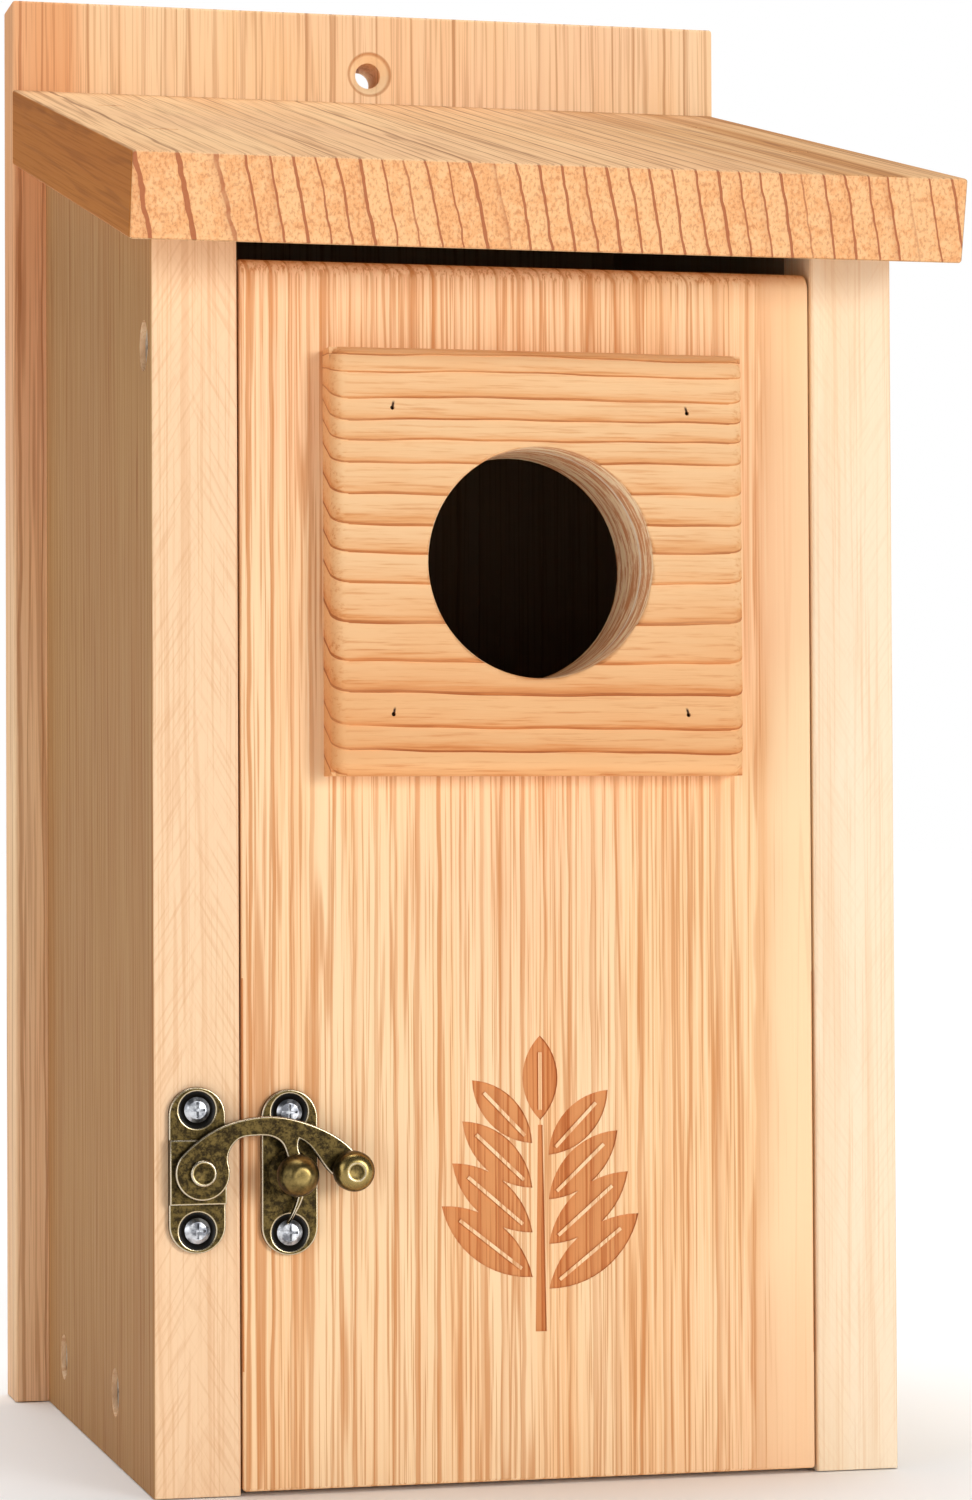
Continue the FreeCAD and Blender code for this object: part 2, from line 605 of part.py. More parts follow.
def build_all():
    """Every sub-part by name."""
    parts = {
        "back_board": back_board(),
        "left_side": side_board(-1),
        "right_side": side_board(1),
        "floor": floor_board(),
        "roof": roof_board(),
        "front_panel": front_panel(),
        "hole_guard": guard_plate(),
        "latch_base": latch_base(),
        "latch_rivet": latch_rivet(),
        "hook_arm": hook_arm(),
        "hook_knob": hook_knob(),
        "keeper_plate": keeper_plate(),
        "keeper_post": keeper_post(),
    }
    for name, (surface, direction) in {**floor_screw_places(), **back_screw_places()}.items():
        parts[name] = wood_screw(surface + direction * SCREW_SINK, direction,
                                 SCREW_SHANK_RADIUS, CASE_SCREW_LENGTH)
    for name, (surface, direction) in pivot_screw_places().items():
        parts[name] = wood_screw(surface + direction * SCREW_SINK, direction,
                                 PIVOT_SHANK_RADIUS, PIVOT_LENGTH)
    for name, at in brad_places().items():
        parts[name] = guard_brad(at)
    for name, at in staple_frames().items():
        parts[name] = staple(at, 0)
    for end, at in plate_screw_places(BASE_X, BASE_Z).items():
        parts["latch_base_screw_" + end] = plate_screw(at)
    for end, at in plate_screw_places(KEEPER_X, KEEPER_Z).items():
        parts["keeper_screw_" + end] = plate_screw(at)
    return parts


os.makedirs("parts", exist_ok=True)
for part_name, part_solid in build_all().items():
    save(part_name, part_solid)
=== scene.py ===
"""Looks of a wooden nest box: sawn cedar boards, a ridged guard plate and an aged brass swing hook."""

import logging
import math
from dataclasses import dataclass, field
from enum import Enum
from typing import Iterable, Optional, Sequence, Union

import bmesh
import bpy
from mathutils import Matrix, Vector


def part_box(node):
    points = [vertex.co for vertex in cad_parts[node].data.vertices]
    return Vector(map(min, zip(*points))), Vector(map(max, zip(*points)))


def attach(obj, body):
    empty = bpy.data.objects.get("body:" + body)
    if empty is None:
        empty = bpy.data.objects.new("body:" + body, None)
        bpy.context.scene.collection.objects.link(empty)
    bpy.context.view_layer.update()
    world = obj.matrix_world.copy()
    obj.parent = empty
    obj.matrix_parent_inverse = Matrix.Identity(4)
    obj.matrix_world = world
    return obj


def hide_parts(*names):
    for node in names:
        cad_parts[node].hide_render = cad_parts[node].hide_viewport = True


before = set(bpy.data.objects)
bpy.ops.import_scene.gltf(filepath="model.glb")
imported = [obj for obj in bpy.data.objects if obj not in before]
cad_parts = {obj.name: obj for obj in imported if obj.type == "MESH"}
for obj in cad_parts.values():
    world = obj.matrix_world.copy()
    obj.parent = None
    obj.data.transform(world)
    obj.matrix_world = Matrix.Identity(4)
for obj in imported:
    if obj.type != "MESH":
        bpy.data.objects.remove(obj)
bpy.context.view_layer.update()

LOG = logging.getLogger("nest_box")
MM = 0.001
Socket = bpy.types.NodeSocket
Value = Union[Socket, float, Sequence[float]]
Colour = tuple[float, float, float]
Point = tuple[float, float, float]
Profile = list[tuple[float, float, float]]
Edges = list[bmesh.types.BMEdge]


def paint(red: int, green: int, blue: int, strength: float = 1.0) -> Colour:
    """A display colour from 0 to 255 as the linear colour that shaders use.

    Args:
        red: Red on the display scale.
        green: Green on the display scale.
        blue: Blue on the display scale.
        strength: A factor on the linear colour.

    Returns:
        The linear colour.
    """
    shares = [channel / 255 for channel in (red, green, blue)]
    linear = [s / 12.92 if s <= 0.04045 else ((s + 0.055) / 1.055) ** 2.4 for s in shares]
    return tuple(strength * value for value in linear)


# ---- Shader building ----------------------------------------------------------------------------

class Graph:
    """A material's node tree, with short ways to add the nodes that wood and metal need."""

    def __init__(self, name: str) -> None:
        """Start a material with a Principled shader and the object's own coordinates.

        Args:
            name: The material's name.
        """
        self.material = bpy.data.materials.new(name)
        self.material.use_nodes = True
        self.tree = self.material.node_tree
        self.tree.nodes.clear()
        self.shader = self.add("ShaderNodeBsdfPrincipled")
        output = self.add("ShaderNodeOutputMaterial")
        self.tree.links.new(self.shader.outputs["BSDF"], output.inputs["Surface"])
        place = self.add("ShaderNodeTexCoord")
        self.position = place.outputs["Object"]
        self.facing = place.outputs["Normal"]

    def add(self, kind: str, **settings: object) -> bpy.types.Node:
        """Add one node and set its own settings."""
        node = self.tree.nodes.new(kind)
        for key, value in settings.items():
            setattr(node, key, value)
        return node

    def feed(self, socket: Socket, value: Value) -> None:
        """Link a socket to another one, or set it to a value."""
        if isinstance(value, bpy.types.NodeSocket):
            self.tree.links.new(value, socket)
        elif isinstance(socket.default_value, float):
            socket.default_value = value
        else:
            channels = len(socket.default_value)
            socket.default_value = (tuple(value) + (1.0,))[:channels]

    def math(self, operation: str, *values: Value, clamp: bool = False) -> Socket:
        """A Math node on one to three values."""
        node = self.add("ShaderNodeMath", operation=operation, use_clamp=clamp)
        for socket, value in zip(node.inputs, values):
            self.feed(socket, value)
        return node.outputs[0]

    def total(self, *values: Value) -> Socket:
        """The sum of several values."""
        result = values[0]
        for value in values[1:]:
            result = self.math("ADD", result, value)
        return result

    def times(self, *values: Value) -> Socket:
        """The product of several values."""
        result = values[0]
        for value in values[1:]:
            result = self.math("MULTIPLY", result, value)
        return result

    def along(self, vector: Value, axis: Sequence[float]) -> Socket:
        """How far a vector reaches along an axis."""
        node = self.add("ShaderNodeVectorMath", operation="DOT_PRODUCT")
        self.feed(node.inputs[0], vector)
        self.feed(node.inputs[1], axis)
        return node.outputs["Value"]

    def vector(self, x: Value, y: Value, z: Value) -> Socket:
        """A vector from three values."""
        node = self.add("ShaderNodeCombineXYZ")
        for socket, value in zip(node.inputs, (x, y, z)):
            self.feed(socket, value)
        return node.outputs[0]

    def noise(self, vector: Value, scale: float = 1.0, detail: float = 2.0,
              roughness: float = 0.5) -> Socket:
        """Smooth noise from 0 to 1."""
        node = self.add("ShaderNodeTexNoise")
        self.feed(node.inputs["Vector"], vector)
        self.feed(node.inputs["Scale"], scale)
        self.feed(node.inputs["Detail"], detail)
        self.feed(node.inputs["Roughness"], roughness)
        return node.outputs["Fac"]

    def drawn(self, scales: Sequence[float], detail: float = 2.0, roughness: float = 0.5) -> Socket:
        """Noise on the object's own axes, with its own scale along each."""
        place = self.vector(*(self.times(axis, scale) for axis, scale in zip(self.axes(), scales)))
        return self.noise(place, detail=detail, roughness=roughness)

    def swing(self, value: Value, size: Value) -> Socket:
        """A value from 0 to 1 moved to lie evenly round 0 and brought to a size."""
        return self.times(self.math("SUBTRACT", value, 0.5), size)

    def chance(self, value: Value, seed: float) -> Socket:
        """A random number from 0 to 1 that stays the same for the same value."""
        node = self.add("ShaderNodeTexWhiteNoise", noise_dimensions="1D")
        self.feed(node.inputs["W"], self.math("ADD", value, seed))
        return node.outputs["Value"]

    def rise(self, value: Value, low: Value, high: Value) -> Socket:
        """0 below low, 1 above high and smooth between them."""
        node = self.add("ShaderNodeMapRange", interpolation_type="SMOOTHSTEP")
        self.feed(node.inputs["Value"], value)
        self.feed(node.inputs["From Min"], low)
        self.feed(node.inputs["From Max"], high)
        return node.outputs["Result"]

    def mix(self, share: Value, first: Value, second: Value, blend: str = "MIX") -> Socket:
        """A blend of two colours."""
        node = self.add("ShaderNodeMix", data_type="RGBA", blend_type=blend)
        self.feed(node.inputs[0], share)
        self.feed(node.inputs[6], first)
        self.feed(node.inputs[7], second)
        return node.outputs[2]

    def coats(self, base: Value, *coats: tuple[Value, Value]) -> Socket:
        """Lay (share, colour) coats over a base, one after another."""
        for share, colour in coats:
            base = self.mix(share, base, colour)
        return base

    def ramp(self, value: Value, stops: Sequence[tuple[float, Colour]]) -> Socket:
        """A colour ramp through (place, colour) stops."""
        node = self.add("ShaderNodeValToRGB")
        elements = node.color_ramp.elements
        while len(elements) < len(stops):
            elements.new(1.0)
        for element, (place, colour) in zip(elements, stops):
            element.position = place
            element.color = (*colour, 1.0)
        self.feed(node.inputs[0], value)
        return node.outputs["Color"]

    def axes(self) -> tuple[Socket, Socket, Socket]:
        """The object's own x, y and z."""
        return tuple(self.along(self.position, axis) for axis in ((1, 0, 0), (0, 1, 0), (0, 0, 1)))

    def near(self, value: Value, place: float, outer: float, inner: float) -> Socket:
        """1 where a value lies within inner of a place, and 0 beyond outer."""
        return self.rise(self.math("ABSOLUTE", self.total(value, -place)), outer, inner)

    def faces(self, axis: Sequence[float], low: float, high: float) -> Socket:
        """How squarely the surface faces along an axis, either way."""
        return self.rise(self.math("ABSOLUTE", self.along(self.facing, axis)), low, high)

    def from_line(self, across: float, up: float) -> Socket:
        """The distance from a line that runs front to back."""
        x, _, z = self.axes()
        return self.math("SQRT", self.total(self.math("POWER", self.total(x, -across), 2.0),
                                            self.math("POWER", self.total(z, -up), 2.0)))

    def attribute(self, name: str) -> Socket:
        """A number stored on the mesh."""
        return self.add("ShaderNodeAttribute", attribute_name=name).outputs["Fac"]

    def surface(self, colour: Value, roughness: Value, metallic: Value = 0.0,
                specular: Value = 0.5) -> None:
        """Set the shader's colour, roughness, metal and specular level."""
        looks = {"Base Color": colour, "Roughness": roughness, "Metallic": metallic,
                 "Specular IOR Level": specular}
        for name, value in looks.items():
            self.feed(self.shader.inputs[name], value)

    def bump(self, height: Value, depth: float, strength: float = 1.0) -> None:
        """Drive the shader's normal with a height, from 0 to 1, of a depth in metres."""
        node = self.add("ShaderNodeBump")
        node.inputs["Strength"].default_value = strength
        node.inputs["Distance"].default_value = depth
        self.feed(node.inputs["Height"], height)
        self.feed(self.shader.inputs["Normal"], node.outputs["Normal"])


# ---- Finishes -----------------------------------------------------------------------------------

class Mark:
    """Something done to a board after it was sawn, or painted shade laid on it. Each kind colours the wood
    where it lies.
    """

    def over(self, g: Graph, base: Value) -> Socket:
        """Shade the wood.

        Args:
            g: The node tree.
            base: The wood's colour.

        Returns:
            The new colour.
        """
        raise NotImplementedError


@dataclass(frozen=True)
class SawMarks(Mark):
    """Faint slanting marks that a saw leaves on a board's edge, leaning out from its middle both ways."""

    middle: float
    lean: float
    rub: Colour
    line: Colour
    strength: float
    rubbed: float = 0.3
    pitch: float = 1900.0
    blend: float = 2.5 * MM
    side_seeds: tuple[tuple[int, float], ...] = ((1, 4.0), (-1, 9.0))

    def over(self, g: Graph, base: Value) -> Socket:
        """Rub the board's edge pale and scratch it."""
        across = g.axes()[0]
        edge = g.faces((0, 1, 0), 0.6, 0.9)
        base = g.mix(g.times(edge, self.rubbed), base, self.rub)
        for side, seed in self.side_seeds:
            lean = side * self.lean
            square = g.along(g.position, Vector((1.0, 0.0, lean)).normalized())
            along = g.along(g.position, Vector((-lean, 0.0, 1.0)).normalized())
            scratch = g.noise(g.vector(g.times(square, self.pitch), g.times(along, 80.0), seed))
            middle = side * self.middle
            half = g.rise(g.times(across, side), middle - self.blend, middle + self.blend)
            half = g.total(0.25, g.times(half, 0.75))
            base = g.mix(g.times(g.rise(scratch, 0.48, 0.7), self.strength, edge, half), base, self.line)
        return base


@dataclass(frozen=True)
class CavityShade(Mark):
    """Painted shade inside the box: every board is darkened there because little light reaches in. Its lid
    climbs towards the back.
    """

    half_width: float = 49.26 * MM
    front: float = -43.5 * MM
    back: float = 66.3 * MM
    floor: float = 17.6 * MM
    lid: float = 220.3 * MM
    lid_climb: float = 0.24
    # The painted shade's colour and how much of it is laid on.
    tone: Colour = paint(86, 56, 36)
    share: float = 0.72

    def over(self, g: Graph, base: Value) -> Socket:
        """Paint shade over what lies inside."""
        x, y, z = g.axes()
        over = ((y, self.front), (z, self.floor))
        under = ((g.math("ABSOLUTE", x), self.half_width), (y, self.back),
                 (g.total(z, g.times(y, -self.lid_climb)), self.lid))
        inside = g.times(*(g.math("GREATER_THAN", value, limit) for value, limit in over),
                         *(g.math("LESS_THAN", value, limit) for value, limit in under), self.share)
        return g.mix(inside, base, self.tone)


@dataclass(frozen=True)
class Bore(Mark):
    """A bored hole that runs front to back: a dusty, torn wall, with a painted highlight along the line
    where two boards meet.
    """

    up: float
    radius: float
    joint: float
    dark: Colour = paint(214, 146, 98)
    pale: Colour = paint(255, 230, 190)
    # The painted highlight's colour.
    joint_highlight: Colour = paint(255, 246, 228)
    burr: float = 0.14 * MM

    def over(self, g: Graph, base: Value) -> Socket:
        """Scuff the wall of the hole."""
        wall = g.times(g.math("LESS_THAN", g.from_line(0.0, self.up), self.radius + self.burr),
                       g.faces((0, 1, 0), 0.6, 0.3))
        fray = g.drawn((80.0, 620.0, 80.0), 5.0, 0.8)
        torn = g.mix(g.rise(fray, 0.44, 0.56), self.dark, self.pale)
        # Painted highlight: a pale line round the wall where the two boards meet.
        joint_highlight = g.near(g.axes()[1], self.joint, 0.55 * MM, 0.25 * MM)
        torn = g.mix(g.times(joint_highlight, 0.8), torn, self.joint_highlight)
        return g.mix(g.times(wall, 0.94), base, torn)


@dataclass(frozen=True)
class Countersink(Mark):
    """A countersink in a board's front: a dark rim round a pale cone."""

    up: float
    radius: float
    face: float
    rim_colour: Colour = paint(186, 122, 70)
    cone: Colour = paint(255, 224, 178)
    depth: float = 3 * MM

    def over(self, g: Graph, base: Value) -> Socket:
        """Colour the cone and its rim."""
        off = g.from_line(0.0, self.up)
        fore = g.math("LESS_THAN", g.axes()[1], self.face + self.depth)
        rim = g.times(g.rise(off, self.radius + 0.3 * MM, self.radius),
                      g.rise(off, self.radius - 0.7 * MM, self.radius - 0.2 * MM), fore)
        open_front = g.math("SUBTRACT", 1.0, g.faces((0, 1, 0), 0.5, 0.3))
        cone = g.times(g.rise(off, self.radius - 0.1 * MM, self.radius - 0.5 * MM), open_front, fore)
        return g.coats(base, (g.times(cone, 0.7), self.cone), (g.times(rim, 0.6), self.rim_colour))


@dataclass(frozen=True)
class Engraving(Mark):
    """A shallow engraving in a front face, with a scorched floor."""

    face: float
    low: float = 20 * MM
    high: float = 84 * MM
    scorch: Colour = paint(214, 158, 104)

    def over(self, g: Graph, base: Value) -> Socket:
        """Scorch the sunk floor."""
        _, y, z = g.axes()
        sunk = g.times(g.rise(y, self.face + 0.06 * MM, self.face + 0.25 * MM),
                       g.math("LESS_THAN", y, self.face + 0.6 * MM))
        band = g.times(g.math("LESS_THAN", z, self.high), g.math("GREATER_THAN", z, self.low))
        return g.mix(g.times(sunk, band, 0.85), base, self.scorch, "MULTIPLY")


@dataclass(frozen=True)
class Tint:
    """A tint that takes over towards one side of a board and above a height, whole or in patches."""

    begin: float
    whole: float
    colour: Colour
    rise_from: float = -1.0
    rise_to: float = -0.9
    patches: float = 0.0
    drift: float = 8 * MM

    def over(self, g: Graph, base: Value, broad: Socket, flame: Socket) -> Socket:
        """Tint the wood.

        Args:
            g: The node tree.
            base: The wood's colour.
            broad: Broad noise that the tint's edge drifts with.
            flame: The wood's flames, which the patches follow.

        Returns:
            The new colour.
        """
        x, _, z = g.axes()
        patch = g.total(1.0 - self.patches, g.times(g.rise(flame, 0.4, 0.58), self.patches))
        share = g.times(g.rise(g.total(x, g.swing(broad, self.drift)), self.begin, self.whole),
                        g.rise(z, self.rise_from, self.rise_to), patch)
        return g.mix(share, base, self.colour, "MULTIPLY")


@dataclass(frozen=True)
class Fibres:
    """Places in a board, measured along its fibres, out from the pith and round it."""

    g: Graph
    length: Socket
    over: Socket
    side: Socket
    seed: float

    def distance(self) -> Socket:
        """The distance from the pith."""
        g = self.g
        return g.math("SQRT", g.total(g.times(self.over, self.over), g.times(self.side, self.side)))

    def noise(self, long: float, cross: float, seed: float, detail: float,
              roughness: float = 0.5) -> Socket:
        """Noise drawn out along the fibres."""
        g = self.g
        place = g.vector(g.total(g.times(self.length, long), self.seed + seed),
                         g.times(self.over, cross), g.times(self.side, cross))
        return g.noise(place, detail=detail, roughness=roughness)


@dataclass(frozen=True)
class Figure:
    """What shows in a board's wood, each from 0 to 1.

    Late is the dark late wood, sharp the thin line at each ring's end, and tone one value for each ring.
    Hair, streak and flame run along the fibres, from fine to broad. Busy is how much of them shows.
    """

    late: Socket
    sharp: Socket
    tone: Socket
    hair: Socket
    streak: Socket
    flame: Socket
    vessel: Socket
    pores: Socket
    busy: Socket


@dataclass(frozen=True)
class Cedar:
    """One sawn cedar board. Its rings are circles round the log's pith, so faces and ends agree.

    The fibres run along grain, and the pith is a line through a point in the same direction. Rings open
    out between the pith and open_to, a point in the board, where the wood is also plainer.
    """

    name: str
    grain: Point
    pith: Point
    pale: Colour
    warm: Colour
    line: Colour
    spacing: float = 3.4 * MM
    wander: float = 1.2 * MM
    wobble: float = 0.2 * MM
    uneven: float = 2.2 * MM
    lines: float = 1.0
    line_width: float = 0.12
    fade: float = 0.5
    streaks: float = 1.0
    vessels: float = 0.5
    open_to: Optional[Point] = None
    open_share: float = 0.45
    plain: float = 0.0
    blush: Optional[Colour] = None
    end_pale: Optional[Colour] = None
    end_deep: Optional[Colour] = None
    end_line: Optional[Colour] = None
    # A multiplier that paints shade on faces that look left.
    left_shade: Optional[Colour] = None
    calm: float = 0.0
    tint: Optional[Tint] = None
    marks: tuple[Mark, ...] = (CavityShade(),)
    relief: float = 0.16 * MM
    seed: float = 0.0

    def material(self) -> bpy.types.Material:
        """Build the board's material.

        Returns:
            The new material.
        """
        g = Graph(self.name)
        grain, pith = Vector(self.grain).normalized(), Vector(self.pith)
        offset = g.add("ShaderNodeVectorMath", operation="SUBTRACT")
        g.feed(offset.inputs[0], g.position)
        g.feed(offset.inputs[1], pith)
        place = offset.outputs[0]
        radial = (grain * pith.dot(grain) - pith).normalized()
        ways = (grain, radial, grain.cross(radial))
        figure = self.figure(g, Fibres(g, *(g.along(place, way) for way in ways), self.seed))
        end = g.faces(grain, 0.6, 0.85)
        colour = g.mix(end, self.face(g, place, figure), self.end(g, place, figure))
        for mark in self.marks:
            colour = mark.over(g, colour)
        height = g.total(g.times(figure.late, 0.4), g.times(figure.sharp, 0.2), g.times(figure.hair, 0.3),
                         g.times(figure.streak, 0.3), g.times(figure.pores, end, 1.2))
        rough = g.total(0.6, g.times(figure.hair, 0.25), g.times(figure.late, -0.08))
        g.surface(colour, rough, specular=0.25)
        g.bump(height, self.relief, 0.8)
        return g.material

    def figure(self, g: Graph, fibres: Fibres) -> Figure:
        """Lay out the rings and the streaks.

        Args:
            g: The node tree.
            fibres: Places in the board.

        Returns:
            What shows in the wood.
        """
        distance = fibres.distance()
        slow = fibres.noise(5.0, 12.0, 0.0, 3.0, 0.55)
        fine = fibres.noise(36.0, 90.0, 3.0, 2.0)
        shaky = fibres.noise(60.0, 330.0, 7.0, 1.0)
        gaps = g.noise(g.vector(self.seed, g.times(distance, 70.0), 0.0), detail=1.0)
        hair = fibres.noise(22.0, 2300.0, 0.0, 2.0, 0.65)
        streak = fibres.noise(9.0, 650.0, 5.0, 3.0, 0.6)
        flame = fibres.noise(4.0, 110.0, 9.0, 2.0)
        contour = fibres.noise(5.0, 270.0, 13.0, 1.0)
        grain = Vector(self.grain).normalized()
        span = Vector(self.open_to or self.pith) - Vector(self.pith)
        opened = (span - grain * span.dot(grain)).length
        young = g.math("MINIMUM", g.total(distance, -opened), 0.0)
        reach = g.total(distance, g.times(young, -self.open_share), g.swing(slow, 2 * self.wander),
                        g.swing(fine, 0.9 * MM), g.swing(shaky, 2 * self.wobble),
                        g.swing(gaps, 2 * self.uneven))
        vessel = g.times(g.near(contour, 0.5, 0.032, 0.008), g.rise(streak, 0.42, 0.56))
        pores = g.noise(g.vector(g.times(fibres.over, 1900.0), g.times(fibres.side, 1200.0),
                                 g.times(fibres.length, 300.0)), detail=3.0, roughness=0.65)
        busy = g.total(1.0, g.times(g.rise(young, 0.0, -6 * MM), -self.plain))
        return Figure(*self.rings(g, reach, streak), hair, streak, flame, vessel, pores, busy)

    def rings(self, g: Graph, reach: Socket, streak: Socket) -> tuple[Socket, Socket, Socket]:
        """The growth rings.

        Args:
            g: The node tree.
            reach: Distance from the pith.
            streak: Streaks that break the rings up along the fibres.

        Returns:
            How dark the late wood is, the thin line at each ring's end, and a tone for the whole ring.
        """
        phase = g.total(g.math("DIVIDE", reach, self.spacing), 300.0 + self.seed)
        ring = g.math("FLOOR", phase)
        part = g.math("FRACT", phase)
        start = g.total(0.25, g.times(g.chance(ring, 3.1), 0.5))
        swell = g.math("POWER", g.rise(part, start, 1.08), 2.0)
        drop = g.math("SUBTRACT", 1.0, g.rise(part, 0.955, 1.0))
        late = g.times(swell, drop, g.total(0.2, g.times(g.chance(ring, 7.7), 0.8)))
        first = g.total(0.97 - 0.5 * self.line_width, g.times(g.chance(ring, 1.9), -self.line_width))
        line = g.rise(part, g.total(first, -0.5 * self.line_width), g.total(first, 0.02))
        broken = g.total(0.45, g.times(streak, 1.1))
        sharp = g.times(line, drop, g.math("POWER", g.chance(ring, 5.3), 0.7), broken)
        return late, sharp, g.chance(ring, 9.2)

    def face(self, g: Graph, place: Socket, figure: Figure) -> Socket:
        """The colour of faces and edges that run along the grain.

        Args:
            g: The node tree.
            place: Places measured from the pith.
            figure: What shows in the wood.

        Returns:
            The colour.
        """
        broad = g.noise(place, 13.0)
        hair = g.total(0.5, g.swing(figure.hair, figure.busy))
        streak = g.total(0.5, g.swing(figure.streak, figure.busy))
        base = g.mix(g.rise(figure.flame, 0.38, 0.66), self.pale, self.warm)
        if self.blush is not None:
            base = g.mix(g.rise(broad, 0.42, 0.64), base, self.blush)
        base = g.coats(base, (g.times(g.rise(streak, 0.52, 0.74), 0.18 * self.streaks), self.line),
                       (g.times(g.rise(hair, 0.52, 0.64), 0.6 * self.streaks), self.line),
                       (g.times(g.rise(hair, 0.5, 0.36), 0.6 * self.streaks), self.pale),
                       (g.times(figure.vessel, figure.busy, self.vessels), self.line),
                       (g.times(figure.late, self.fade), self.line),
                       (g.math("MINIMUM", g.times(figure.sharp, 0.85 * self.lines), 1.0), self.line))
        if self.tint is not None:
            base = self.tint.over(g, base, broad, figure.flame)
        # Painted shade: faces that look left, away from the key lamp, are calmed towards the warm tone and
        # multiplied darker.
        if self.left_shade is not None:
            left = g.rise(g.along(g.facing, (-1, 0, 0)), 0.5, 0.8)
            base = g.mix(g.times(left, self.calm), base, self.warm)
            base = g.mix(left, base, self.left_shade, "MULTIPLY")
        return base

    def end(self, g: Graph, place: Socket, figure: Figure) -> Socket:
        """The colour of sawn ends, with open pores between thin dark rings.

        Args:
            g: The node tree.
            place: Places measured from the pith.
            figure: What shows in the wood.

        Returns:
            The colour.
        """
        line = self.end_line or self.line
        patch = g.total(g.noise(place, 420.0, 3.0, 0.65), g.swing(figure.tone, 0.16))
        base = g.mix(g.rise(patch, 0.4, 0.62), self.end_pale or self.warm, self.end_deep or self.warm)
        return g.coats(base, (g.times(g.rise(figure.pores, 0.47, 0.64), 0.42), line),
                       (g.times(g.rise(figure.pores, 0.5, 0.34), 0.6), self.pale),
                       (g.times(figure.late, 0.5), line),
                       (g.times(g.rise(figure.sharp, 0.0, 0.2), 0.9), line))


@dataclass(frozen=True)
class AgedBrass:
    """Brass that has darkened to olive, warms to gold at half wear and is worn bright at full wear.

    Wear below 0 is painted shade: near-black and not metal, laid in recesses and under parts. The same
    value also carries painted highlights on the turned parts.
    """

    name: str = "aged_brass"
    # Painted shade for recesses and the undersides of parts.
    hollow_shade: Colour = paint(14, 11, 7)
    dark: Colour = paint(44, 36, 22)
    olive: Colour = paint(98, 82, 46)
    gold: Colour = paint(152, 131, 80)
    bright: Colour = paint(210, 198, 176)

    def material(self) -> bpy.types.Material:
        """Build the brass.

        Returns:
            The new material.
        """
        g = Graph(self.name)
        wear_and_painted_light = g.attribute("wear_and_painted_light")
        mottle = g.noise(g.position, 900.0, 4.0, 0.65)
        grit = g.noise(g.position, 3800.0, 2.0, 0.6)
        stain = g.rise(g.total(g.times(mottle, 0.7), g.times(grit, 0.3)), 0.4, 0.62)
        patina = g.mix(stain, self.dark, self.olive)
        uneven = g.total(wear_and_painted_light, g.swing(mottle, 0.35))
        # The last coat paints shade where the value is below 0, and there the surface stops being metal
        # too.
        colour = g.coats(patina, (g.rise(uneven, 0.1, 0.5), self.gold),
                         (g.rise(uneven, 0.55, 0.95), self.bright),
                         (g.rise(wear_and_painted_light, -0.15, -0.75), self.hollow_shade))
        rough = g.total(0.44, g.times(g.rise(wear_and_painted_light, 0.1, 0.5), -0.16), g.swing(grit, 0.25))
        g.surface(colour, rough, g.rise(wear_and_painted_light, -0.9, -0.3))
        g.bump(g.total(g.times(mottle, 0.6), g.times(grit, 0.4)), 0.03 * MM, 0.5)
        return g.material


@dataclass(frozen=True)
class PlatedSteel:
    """Plated steel with the fine scuffs that a screwdriver or a press leaves."""

    name: str
    light: Colour
    dull: Colour
    roughness: float = 0.3

    def material(self) -> bpy.types.Material:
        """Build the steel.

        Returns:
            The new material.
        """
        g = Graph(self.name)
        cloud = g.noise(g.position, 700.0, 3.0, 0.6)
        scuff = g.noise(g.position, 4200.0, 2.0, 0.6)
        colour = g.mix(g.rise(cloud, 0.35, 0.65), self.light, self.dull)
        g.surface(colour, g.total(self.roughness, g.times(scuff, 0.25)), 1.0)
        g.bump(scuff, 0.02 * MM, 0.6)
        return g.material


# ---- Mesh helpers -------------------------------------------------------------------------------

def middle_of(node: str) -> tuple[float, float]:
    """The middle of a CAD node's box, across and up."""
    low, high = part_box(node)
    return (low.x + high.x) / 2, (low.z + high.z) / 2


def depth_of(node: str) -> float:
    """How far a CAD node reaches from front to back."""
    low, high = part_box(node)
    return high.y - low.y


def to_piece(bm: bmesh.types.BMesh, name: str, material: bpy.types.Material,
             crease: float = 35.0) -> bpy.types.Object:
    """Turn a bmesh into a piece at the origin, smooth except across sharp edges.

    Args:
        bm: The finished bmesh, which is freed.
        name: The piece's name.
        material: Its material.
        crease: Edges sharper than this many degrees stay sharp.

    Returns:
        The new object.
    """
    mesh = bpy.data.meshes.new(name)
    for face in bm.faces:
        face.smooth = True
    bm.to_mesh(mesh)
    bm.free()
    mesh.set_sharp_from_angle(angle=math.radians(crease))
    mesh.materials.append(material)
    piece = bpy.data.objects.new(name, mesh)
    bpy.context.scene.collection.objects.link(piece)
    return piece


def place_piece(piece: bpy.types.Object, body: str, nodes: Iterable[str]) -> None:
    """Tie a piece to its body.

    Args:
        piece: The piece.
        body: The body that it rides on.
        nodes: The CAD nodes that it stands for.
    """
    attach(piece, body)
    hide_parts(*nodes)
    LOG.info("%s rides on %s, %d faces", piece.name, body, len(piece.data.polygons))


def dress(node: str, material: bpy.types.Material) -> None:
    """Give a CAD node its finish."""
    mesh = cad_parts[node].data
    mesh.materials.clear()
    mesh.materials.append(material)
    LOG.info("%s has %s", node, material.name)


